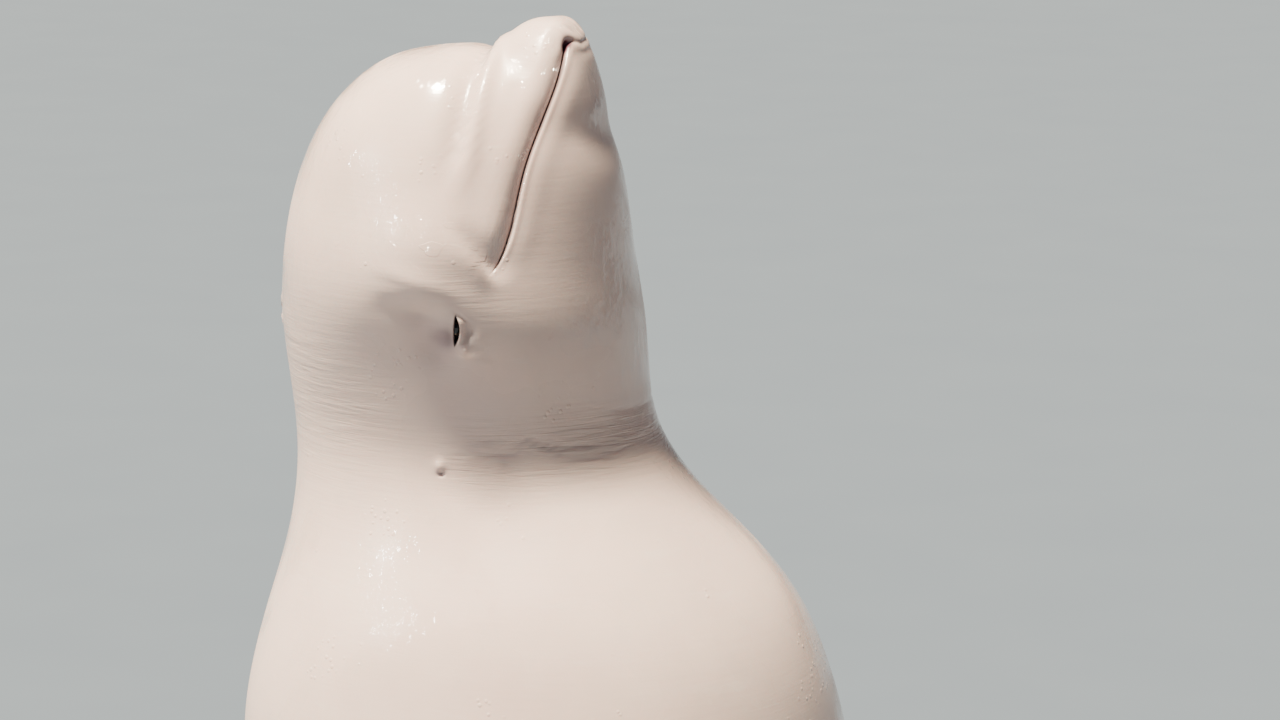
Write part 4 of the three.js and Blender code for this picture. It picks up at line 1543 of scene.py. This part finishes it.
def bolt_circle_tree(material: bpy.types.Material) -> bpy.types.NodeTree:
    """A Geometry Nodes tree that puts a circle of washers and hexagon heads round each point.

    Args:
        material: the finish of the bolts.

    Returns:
        The node tree, with named inputs for its sizes.
    """
    tree = bpy.data.node_groups.new("BoltCircle", "GeometryNodeTree")
    face = tree.interface
    face.new_socket("Geometry", in_out="INPUT", socket_type="NodeSocketGeometry")
    face.new_socket("Count", in_out="INPUT", socket_type="NodeSocketInt").default_value = 6
    face.new_socket("Circle Radius", in_out="INPUT", socket_type="NodeSocketFloat").default_value = 0.07
    face.new_socket("Head Radius", in_out="INPUT", socket_type="NodeSocketFloat").default_value = 0.009
    face.new_socket("Head Height", in_out="INPUT", socket_type="NodeSocketFloat").default_value = 0.008
    face.new_socket("Geometry", in_out="OUTPUT", socket_type="NodeSocketGeometry")
    nodes, links = tree.nodes, tree.links
    given = nodes.new("NodeGroupInput")
    result = nodes.new("NodeGroupOutput")
    circle = nodes.new("GeometryNodeMeshCircle")
    links.new(given.outputs["Count"], circle.inputs["Vertices"])
    links.new(given.outputs["Circle Radius"], circle.inputs["Radius"])
    spots = nodes.new("GeometryNodeInstanceOnPoints")
    links.new(given.outputs["Geometry"], spots.inputs["Points"])
    links.new(circle.outputs["Mesh"], spots.inputs["Instance"])
    spread = nodes.new("GeometryNodeRealizeInstances")
    links.new(spots.outputs["Instances"], spread.inputs["Geometry"])

    head = nodes.new("GeometryNodeMeshCylinder")
    head.inputs["Vertices"].default_value = 6
    links.new(given.outputs["Head Radius"], head.inputs["Radius"])
    links.new(given.outputs["Head Height"], head.inputs["Depth"])
    washer = nodes.new("GeometryNodeMeshCylinder")
    washer.inputs["Vertices"].default_value = 32
    wide = nodes.new("ShaderNodeMath")
    wide.operation = "MULTIPLY"
    wide.inputs[1].default_value = 1.35
    links.new(given.outputs["Head Radius"], wide.inputs[0])
    links.new(wide.outputs[0], washer.inputs["Radius"])
    washer.inputs["Depth"].default_value = 0.0036
    lift = nodes.new("ShaderNodeMath")
    lift.operation = "MULTIPLY"
    lift.inputs[1].default_value = 0.5
    links.new(given.outputs["Head Height"], lift.inputs[0])
    place = nodes.new("ShaderNodeCombineXYZ")
    links.new(lift.outputs[0], place.inputs["Z"])
    raised = nodes.new("GeometryNodeTransform")
    links.new(head.outputs["Mesh"], raised.inputs["Geometry"])
    links.new(place.outputs[0], raised.inputs["Translation"])
    join = nodes.new("GeometryNodeJoinGeometry")
    links.new(washer.outputs["Mesh"], join.inputs[0])
    links.new(raised.outputs["Geometry"], join.inputs[0])
    bolts = nodes.new("GeometryNodeInstanceOnPoints")
    links.new(spread.outputs["Geometry"], bolts.inputs["Points"])
    links.new(join.outputs[0], bolts.inputs["Instance"])
    turn = nodes.new("FunctionNodeRandomValue")
    turn.data_type = "FLOAT_VECTOR"
    turn.inputs[0].default_value = (0, 0, 0)
    turn.inputs[1].default_value = (0, 0, math.pi / 3)
    turn.inputs["Seed"].default_value = 7
    links.new(turn.outputs[0], bolts.inputs["Rotation"])
    realized = nodes.new("GeometryNodeRealizeInstances")
    links.new(bolts.outputs["Instances"], realized.inputs["Geometry"])
    finish = nodes.new("GeometryNodeSetMaterial")
    finish.inputs["Material"].default_value = material
    links.new(realized.outputs["Geometry"], finish.inputs["Geometry"])
    links.new(finish.outputs["Geometry"], result.inputs["Geometry"])
    return tree


# Finishes


class Nodes:
    """A short hand for building a material's or a group's nodes."""

    def __init__(self, tree: bpy.types.NodeTree) -> None:
        """Keep the tree."""
        self.tree = tree

    def add(self, kind: str, **settings: object) -> bpy.types.Node:
        """Add a node.

        Args:
            kind: the node's type name.
            settings: its properties by name.

        Returns:
            The node.
        """
        node = self.tree.nodes.new(kind)
        for name, value in settings.items():
            setattr(node, name, value)
        return node

    def link(self, source: bpy.types.NodeSocket, target: bpy.types.NodeSocket) -> None:
        """Link two sockets."""
        self.tree.links.new(source, target)

    def feed(self, socket: bpy.types.NodeSocket, value: object) -> None:
        """Link a socket, or set it where the value is a number or a colour.

        Args:
            socket: the socket that takes the value.
            value: a node's socket, a number or a colour.
        """
        if isinstance(value, bpy.types.NodeSocket):
            self.link(value, socket)
        else:
            socket.default_value = value

    def noise(
        self,
        vector: bpy.types.NodeSocket,
        scale: float,
        detail: float = 3.0,
        rough: float = 0.5,
        distortion: float = 0.0,
    ) -> bpy.types.NodeSocket:
        """Add a noise texture.

        Args:
            vector: the coordinates that it reads.
            scale: waves in a metre.
            detail: how many finer layers it has.
            rough: how strong those are.
            distortion: how far it is swirled.

        Returns:
            Its value.
        """
        node = self.add("ShaderNodeTexNoise")
        self.feed(node.inputs["Vector"], vector)
        self.feed(node.inputs["Scale"], scale)
        self.feed(node.inputs["Detail"], detail)
        self.feed(node.inputs["Roughness"], rough)
        self.feed(node.inputs["Distortion"], distortion)
        return node.outputs["Fac"]

    def math(self, operation: str, a: object, b: object) -> bpy.types.NodeSocket:
        """Add a math node.

        Args:
            operation: the node's operation.
            a: its first value.
            b: its second value.

        Returns:
            Its result.
        """
        node = self.add("ShaderNodeMath", operation=operation)
        self.feed(node.inputs[0], a)
        self.feed(node.inputs[1], b)
        return node.outputs[0]

    def total(self, *shares: tuple[bpy.types.NodeSocket, float]) -> bpy.types.NodeSocket:
        """Add up several values.

        Args:
            shares: pairs of a value and its weight.

        Returns:
            Their sum.
        """
        result = None
        for value, weight in shares:
            part = self.math("MULTIPLY", value, weight)
            result = part if result is None else self.math("ADD", result, part)
        return result

    def spread(
        self,
        value: bpy.types.NodeSocket,
        low: float,
        high: float,
        to_low: float = 0.0,
        to_high: float = 1.0,
    ) -> bpy.types.NodeSocket:
        """Map a value from one range to another, with soft ends.

        Args:
            value: the value.
            low: where the first range starts.
            high: where it ends.
            to_low: what low becomes.
            to_high: what high becomes.

        Returns:
            The mapped value.
        """
        node = self.add("ShaderNodeMapRange", interpolation_type="SMOOTHSTEP")
        self.feed(node.inputs["Value"], value)
        node.inputs["From Min"].default_value = low
        node.inputs["From Max"].default_value = high
        node.inputs["To Min"].default_value = to_low
        node.inputs["To Max"].default_value = to_high
        return node.outputs["Result"]

    def mix(self, share: object, a: object, b: object) -> bpy.types.NodeSocket:
        """Mix two colours.

        Args:
            share: how much of the second there is.
            a: the first colour.
            b: the second colour.

        Returns:
            The mixed colour.
        """
        node = self.add("ShaderNodeMix", data_type="RGBA")
        self.feed(node.inputs[0], share)
        self.feed(node.inputs[6], a)
        self.feed(node.inputs[7], b)
        return node.outputs[2]

    def mapping(self, vector: bpy.types.NodeSocket, scale: Triple) -> bpy.types.NodeSocket:
        """Scale a coordinate.

        Args:
            vector: the coordinate.
            scale: its scale in X, Y and Z.

        Returns:
            The scaled coordinate.
        """
        node = self.add("ShaderNodeMapping")
        self.link(vector, node.inputs["Vector"])
        node.inputs["Scale"].default_value = scale
        return node.outputs["Vector"]

    def attribute(self, name: str) -> bpy.types.NodeSocket:
        """A mesh attribute's value."""
        return self.add("ShaderNodeAttribute", attribute_name=name).outputs["Fac"]


class Coat(Nodes):
    """The nodes of a new material, with its shader and the piece's own coordinates."""

    def __init__(self, name: str) -> None:
        """Start the material.

        Args:
            name: the material's name.
        """
        self.material = bpy.data.materials.new(name)
        self.material.use_nodes = True
        super().__init__(self.material.node_tree)
        self.shader = self.tree.nodes["Principled BSDF"]
        self.place = self.add("ShaderNodeTexCoord").outputs["Object"]

    def give(self, socket: str, value: object) -> None:
        """Link or set one of the shader's sockets."""
        self.feed(self.shader.inputs[socket], value)

    def mottled(
        self, group: bpy.types.NodeTree, patch_scale: float, grain_scale: float = 200.0
    ) -> tuple[bpy.types.NodeSocket, bpy.types.NodeSocket]:
        """Place the shared mottle group.

        Args:
            group: the group.
            patch_scale: waves of the wide patches in a metre.
            grain_scale: waves of the fine grain in a metre.

        Returns:
            The patches and the grain.
        """
        node = self.add("ShaderNodeGroup", node_tree=group)
        self.link(self.place, node.inputs["Vector"])
        node.inputs["Patch Scale"].default_value = patch_scale
        node.inputs["Grain Scale"].default_value = grain_scale
        return node.outputs["Patch"], node.outputs["Grain"]

    def emboss(
        self, height: bpy.types.NodeSocket, distance: float, strength: float = 1.0, socket: str = "Normal"
    ) -> None:
        """Raise the surface by a height, as small relief in the light.

        Args:
            height: the height.
            distance: what a height of 1 means, in metres.
            strength: how strongly it shows.
            socket: the shader's socket that takes the new normal.
        """
        node = self.add("ShaderNodeBump")
        node.inputs["Distance"].default_value = distance
        node.inputs["Strength"].default_value = strength
        self.link(height, node.inputs["Height"])
        self.link(node.outputs["Normal"], self.shader.inputs[socket])


def mottle_group() -> bpy.types.NodeTree:
    """A shader group of soft patches at two sizes, shared by the skin and the stand's finishes.

    Returns:
        The group, with outputs Patch and Grain.
    """
    tree = bpy.data.node_groups.new("Mottle", "ShaderNodeTree")
    face = tree.interface
    face.new_socket("Vector", in_out="INPUT", socket_type="NodeSocketVector")
    face.new_socket("Patch Scale", in_out="INPUT", socket_type="NodeSocketFloat").default_value = 4
    face.new_socket("Grain Scale", in_out="INPUT", socket_type="NodeSocketFloat").default_value = 200
    face.new_socket("Patch", in_out="OUTPUT", socket_type="NodeSocketFloat")
    face.new_socket("Grain", in_out="OUTPUT", socket_type="NodeSocketFloat")
    n = Nodes(tree)
    given = n.add("NodeGroupInput")
    result = n.add("NodeGroupOutput")
    wide = n.add("ShaderNodeTexNoise")
    n.link(given.outputs["Vector"], wide.inputs["Vector"])
    n.link(given.outputs["Patch Scale"], wide.inputs["Scale"])
    wide.inputs["Detail"].default_value = 4
    wide.inputs["Roughness"].default_value = 0.55
    grain = n.add("ShaderNodeTexNoise")
    n.link(given.outputs["Vector"], grain.inputs["Vector"])
    n.link(given.outputs["Grain Scale"], grain.inputs["Scale"])
    grain.inputs["Detail"].default_value = 2
    n.link(n.spread(wide.outputs["Fac"], 0.3, 0.7), result.inputs["Patch"])
    n.link(grain.outputs["Fac"], result.inputs["Grain"])
    return tree


@dataclass(frozen=True)
class SkinFinish:
    """Wet, smooth, warm white skin with pink in places, and pinkish grey painted shade in its folds."""

    mottle: bpy.types.NodeTree
    light: Colour = (0.86, 0.645, 0.54, 1)
    rosy: Colour = (0.76, 0.54, 0.46, 1)
    speckle: Colour = (0.62, 0.50, 0.46, 1)
    streak: Colour = (0.93, 0.88, 0.80, 1)
    # The next four colours are painted shade: fold in folds and hollows, mouth in the gape (the mouth's red
    # lining, darkened), seam along the mouth's seam, rim in the eye's slit
    fold: Colour = (0.33, 0.23, 0.245, 1)
    mouth: Colour = (0.10, 0.026, 0.042, 1)
    seam: Colour = (0.10, 0.06, 0.07, 1)
    rim: Colour = (0.018, 0.008, 0.015, 1)

    def make(self) -> bpy.types.Material:
        """Build the skin's material.

        Returns:
            The material.
        """
        n = Coat("WetSkin")
        patch, grain = n.mottled(self.mottle, 3.2, 330)
        fine = n.noise(n.place, 22, 5, 0.6)
        colour = n.mix(n.math("MULTIPLY", patch, 0.7), self.light, self.rosy)
        colour = n.mix(n.spread(fine, 0.52, 0.75, 0, 0.16), colour, self.speckle)
        streaks = n.noise(n.mapping(n.place, (9, 9, 60)), 1.0, 4, 0.6, 0.3)
        colour = n.mix(n.spread(streaks, 0.6, 0.72, 0, 0.10), colour, self.streak)
        # Painted shade: folds, creases, grooves, slits, holes and the hollows round the eye and neck darkened
        # towards pinkish grey
        colour = n.mix(n.math("MULTIPLY", n.attribute("crease"), 0.75), colour, self.fold)
        # Painted shade: a dark line along the mouth's seam
        colour = n.mix(n.attribute("seam"), colour, self.seam)
        # The gape: the mouth's red lining, darkened as painted shade
        colour = n.mix(n.attribute("gape"), colour, self.mouth)
        # Painted shade: the eye's slit and the pocket at its corner, near black
        colour = n.mix(n.attribute("lid"), colour, self.rim)
        n.give("Base Color", colour)

        # A film of water that is smoother in places, with scattered drops on it
        film = n.noise(n.place, 7.5, 3, 0.5, 0.4)
        cells = n.add("ShaderNodeTexVoronoi", feature="F1")
        n.link(n.place, cells.inputs["Vector"])
        cells.inputs["Scale"].default_value = 95
        scatter = n.spread(n.noise(n.place, 9, 2, 0.5), 0.60, 0.66)
        drop = n.math("MULTIPLY", n.spread(cells.outputs["Distance"], 0.12, 0.3, 1, 0), scatter)
        rough = n.spread(film, 0.38, 0.62, 0.16, 0.36)
        n.give("Roughness", n.math("SUBTRACT", rough, n.math("MULTIPLY", drop, 0.10)))

        # The skin's own small relief: wrinkles where the neck bends, grain, and the water's edge
        ripples = n.noise(n.mapping(n.place, (15, 15, 210)), 1.0, 3, 0.55, 0.6)
        wide_folds = n.noise(n.mapping(n.place, (7, 7, 70)), 1.0, 3, 0.5, 0.5)
        wrinkled = n.math("ADD", n.attribute("wrinkle"), 0.05)
        ripples = n.math("MULTIPLY", n.math("ADD", ripples, wide_folds), wrinkled)
        wet = n.attribute("wet")
        edge = n.spread(n.noise(n.place, 16, 2, 0.5, 0.8), 0.53, 0.545)
        wet_edge = n.math("MULTIPLY", edge, wet)
        height = n.total((ripples, 1.6), (grain, 0.035), (fine, 0.16), (drop, 0.35), (wet_edge, 0.16))
        n.emboss(height, 0.0016, 0.8)

        # The water's relief, with runs of water down the skin and beads where it gathers
        runs = n.noise(n.mapping(n.place, (70, 70, 34)), 1.0, 2, 0.5, 0.5)
        beads = n.noise(n.mapping(n.place, (62, 62, 48)), 1.0, 1.5, 0.4, 0.3)
        beads = n.math("MULTIPLY", n.spread(beads, 0.46, 0.74), wet)
        n.emboss(n.total((drop, 0.5), (runs, 1.5), (beads, 6.5)), 0.0015, socket="Coat Normal")
        n.give("Coat Weight", n.math("MAXIMUM", n.spread(film, 0.35, 0.6, 0.85, 0.15), wet))
        n.give("Coat Roughness", 0.05)
        n.give("Subsurface Weight", 0.22)
        n.give("Subsurface Radius", (1.0, 0.55, 0.4))
        n.give("Subsurface Scale", 0.009)
        n.give("IOR", 1.42)
        return n.material


@dataclass(frozen=True)
class EyeFinish:
    """A wet, very dark eye."""

    iris: Colour = (0.045, 0.018, 0.010, 1)
    fibre: Colour = (0.09, 0.042, 0.02, 1)
    white: Colour = (0.035, 0.022, 0.022, 1)
    pupil: Colour = (0.004, 0.003, 0.004, 1)

    def make(self) -> bpy.types.Material:
        """Build the eye's material.

        Returns:
            The material.
        """
        n = Coat("WetEye")
        front = n.attribute("front")
        fibres = n.noise(n.place, 420, 3, 0.6)
        iris = n.mix(n.spread(fibres, 0.35, 0.7), self.iris, self.fibre)
        colour = n.mix(n.spread(front, 0.72, 0.80), self.white, iris)
        n.give("Base Color", n.mix(n.spread(front, 0.90, 0.93), colour, self.pupil))
        n.give("Roughness", n.spread(n.noise(n.place, 90, 2), 0.3, 0.7, 0.04, 0.09))
        n.give("Coat Weight", 0.2)
        n.give("Coat Roughness", 0.03)
        return n.material


@dataclass(frozen=True)
class PaintFinish:
    """Satin paint with a faint orange-peel texture, dust and fine scuffs."""

    mottle: bpy.types.NodeTree
    colour: Colour = (0.075, 0.09, 0.105, 1)
    faded: Colour = (0.10, 0.115, 0.13, 1)
    dust: Colour = (0.30, 0.30, 0.29, 1)
    scuff: Colour = (0.22, 0.23, 0.24, 1)

    def make(self) -> bpy.types.Material:
        """Build the base board's material.

        Returns:
            The material.
        """
        n = Coat("SatinPaint")
        patch, grain = n.mottled(self.mottle, 5, 420)
        dusty = n.spread(n.noise(n.place, 30, 5, 0.65), 0.5, 0.8, 0, 0.22)
        colour = n.mix(n.math("MULTIPLY", patch, 0.25), self.colour, self.faded)
        colour = n.mix(dusty, colour, self.dust)
        scuffs = n.noise(n.mapping(n.place, (4, 60, 4)), 1.0, 3, 0.6, 0.4)
        n.give("Base Color", n.mix(n.spread(scuffs, 0.66, 0.74, 0, 0.18), colour, self.scuff))
        n.give("Roughness", n.math("ADD", n.spread(patch, 0, 1, 0.34, 0.46), n.math("MULTIPLY", dusty, 0.8)))
        n.emboss(grain, 0.0004, 0.5)
        return n.material


@dataclass(frozen=True)
class SteelFinish:
    """Brushed steel, with fine lines round each rod."""

    mottle: bpy.types.NodeTree
    colour: Colour = (0.55, 0.56, 0.57, 1)
    dull: Colour = (0.42, 0.43, 0.45, 1)

    def make(self) -> bpy.types.Material:
        """Build the steel's material.

        Returns:
            The material.
        """
        n = Coat("BrushedSteel")
        patch, _ = n.mottled(self.mottle, 14)
        brushed = n.noise(n.mapping(n.place, (8, 8, 900)), 1.0, 2, 0.6)
        n.give("Base Color", n.mix(n.math("MULTIPLY", patch, 0.3), self.colour, self.dull))
        rough = n.spread(brushed, 0.3, 0.7, 0.22, 0.36)
        n.give("Roughness", n.math("ADD", rough, n.math("MULTIPLY", patch, 0.06)))
        n.emboss(brushed, 0.0002, 0.35)
        n.give("Metallic", 1.0)
        return n.material


@dataclass(frozen=True)
class PadFinish:
    """Matte black rubber with a fine pebble."""

    mottle: bpy.types.NodeTree
    colour: Colour = (0.022, 0.022, 0.024, 1)
    worn: Colour = (0.05, 0.05, 0.052, 1)

    def make(self) -> bpy.types.Material:
        """Build the pads' material.

        Returns:
            The material.
        """
        n = Coat("PadRubber")
        patch, grain = n.mottled(self.mottle, 20, 600)
        n.give("Base Color", n.mix(patch, self.colour, self.worn))
        n.give("Roughness", n.spread(patch, 0, 1, 0.7, 0.85))
        n.emboss(grain, 0.0005)
        return n.material


# Camera, light and floor


@dataclass
class Studio:
    """A pale floor, light from overhead, and the camera at the photograph's angle."""

    camera_place: Triple = (1.1763, -4.8428, 4.5897)
    azimuth: float = math.radians(12)
    elevation: float = math.radians(12)
    lens: float = 112.38
    sky_light: Colour = (0.076, 0.076, 0.10, 1)
    sky_seen: Colour = (0.63, 0.64, 0.61, 1)
    floor_half: float = 90.0
    floor_drop: float = 0.0005
    floor_tones: tuple[Colour, Colour] = ((0.088, 0.107, 0.135, 1), (0.097, 0.117, 0.144, 1))

    def build(self) -> None:
        """Set the camera, the lights and the floor."""
        camera = bpy.data.cameras.new("camera")
        camera.lens = self.lens
        camera.sensor_width = 36
        camera.clip_end = 400
        holder = bpy.data.objects.new("camera", camera)
        bpy.context.scene.collection.objects.link(holder)
        level = math.cos(self.elevation)
        away = Vector((math.sin(self.azimuth), -math.cos(self.azimuth), 0.0)) * level
        away.z = math.sin(self.elevation)
        holder.location = self.camera_place
        holder.rotation_euler = (-away).to_track_quat("-Z", "Y").to_euler()
        bpy.context.scene.camera = holder

        self._sun("key", toward=(-0.26, -0.13, 0.955), softness=9, strength=19, colour=(1.0, 0.915, 0.735))
        self._area(
            "gloss",
            place=(-5.0, -3.1, 6.3),
            at=(0.0, 0.0, 3.5),
            size=(0.3, 0.9),
            watts=170,
            colour=(1.0, 0.97, 0.93),
        )
        world = bpy.data.worlds.new("studio")
        world.use_nodes = True
        n = Nodes(world.node_tree)
        seen = n.add("ShaderNodeLightPath").outputs["Is Camera Ray"]
        sky = n.mix(seen, self.sky_light, self.sky_seen)
        n.link(sky, world.node_tree.nodes["Background"].inputs["Color"])
        bpy.context.scene.world = world

        corners = [(-1, -1, 0), (1, -1, 0), (1, 1, 0), (-1, 1, 0)]
        points = np.array(corners, float) * self.floor_half - (0, 0, self.floor_drop)
        floor = mesh_object("studio_floor", points, [(0, 1, 2, 3)], smooth=False)
        floor.data.materials.append(self._floor_finish())

    def _sun(self, name: str, toward: Triple, softness: float, strength: float, colour: Triple) -> None:
        """Add an even light that comes from a direction, with soft-edged shadows.

        Args:
            name: the light's name.
            toward: the direction that it comes from.
            softness: how wide it is seen, in degrees.
            strength: its strength.
            colour: its colour.
        """
        light = bpy.data.lights.new(name, "SUN")
        light.angle = math.radians(softness)
        light.energy = strength
        light.color = colour
        lamp = bpy.data.objects.new(name, light)
        lamp.rotation_euler = (-Vector(toward)).to_track_quat("-Z", "Y").to_euler()
        bpy.context.scene.collection.objects.link(lamp)

    def _area(
        self, name: str, place: Triple, at: Triple, size: tuple[float, float], watts: float, colour: Triple
    ) -> None:
        """Add an upright strip of soft light that faces a point.

        Args:
            name: the light's name.
            place: where it stands.
            at: the point that it faces.
            size: its width and height, in metres.
            watts: its power.
            colour: its colour.
        """
        light = bpy.data.lights.new(name, "AREA")
        light.shape = "RECTANGLE"
        light.size, light.size_y = size
        light.energy = watts
        light.color = colour
        lamp = bpy.data.objects.new(name, light)
        lamp.location = place
        lamp.rotation_euler = (Vector(at) - Vector(place)).to_track_quat("-Z", "Y").to_euler()
        bpy.context.scene.collection.objects.link(lamp)

    def _floor_finish(self) -> bpy.types.Material:
        """Build the plain, slightly uneven floor's material.

        Returns:
            The material.
        """
        n = Coat("PaleFloor")
        n.give("Base Color", n.mix(n.noise(n.place, 1.5, 3, 0.5), *self.floor_tones))
        n.give("Roughness", 0.85)
        return n.material


def dress_piece(piece: bpy.types.Object, material: bpy.types.Material, slot: str, *nodes: str) -> None:
    """Give a piece its finish and its place in the frame.

    Args:
        piece: the finished piece.
        material: its finish.
        slot: not used.
        nodes: the solids that the piece stands for.
    """
    if not piece.data.materials:
        piece.data.materials.append(material)
    if nodes:
        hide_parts(*nodes)
    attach(piece, "root")
    stands_for = ", ".join(nodes) or "nothing"
    log.info("%s: %d faces, in place of %s", piece.name, len(piece.data.polygons), stands_for)


def main() -> None:
    """Build the studio, the whale and its stand."""
    logging.basicConfig(level=logging.INFO, format="%(message)s")
    Studio().build()
    form = Form()
    spine = Spine()
    mottle = mottle_group()
    WhaleSkin(form, spine).dress(SkinFinish(mottle).make())
    wet_eye = EyeFinish().make()
    for hand in Hand:
        Eye(form, spine).dress(hand, wet_eye)
    steel = SteelFinish(mottle).make()
    rubber = PadFinish(mottle).make()
    Stand(form, spine).dress(PaintFinish(mottle).make(), steel, rubber)

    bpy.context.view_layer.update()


if __name__ == "__main__":
    main()
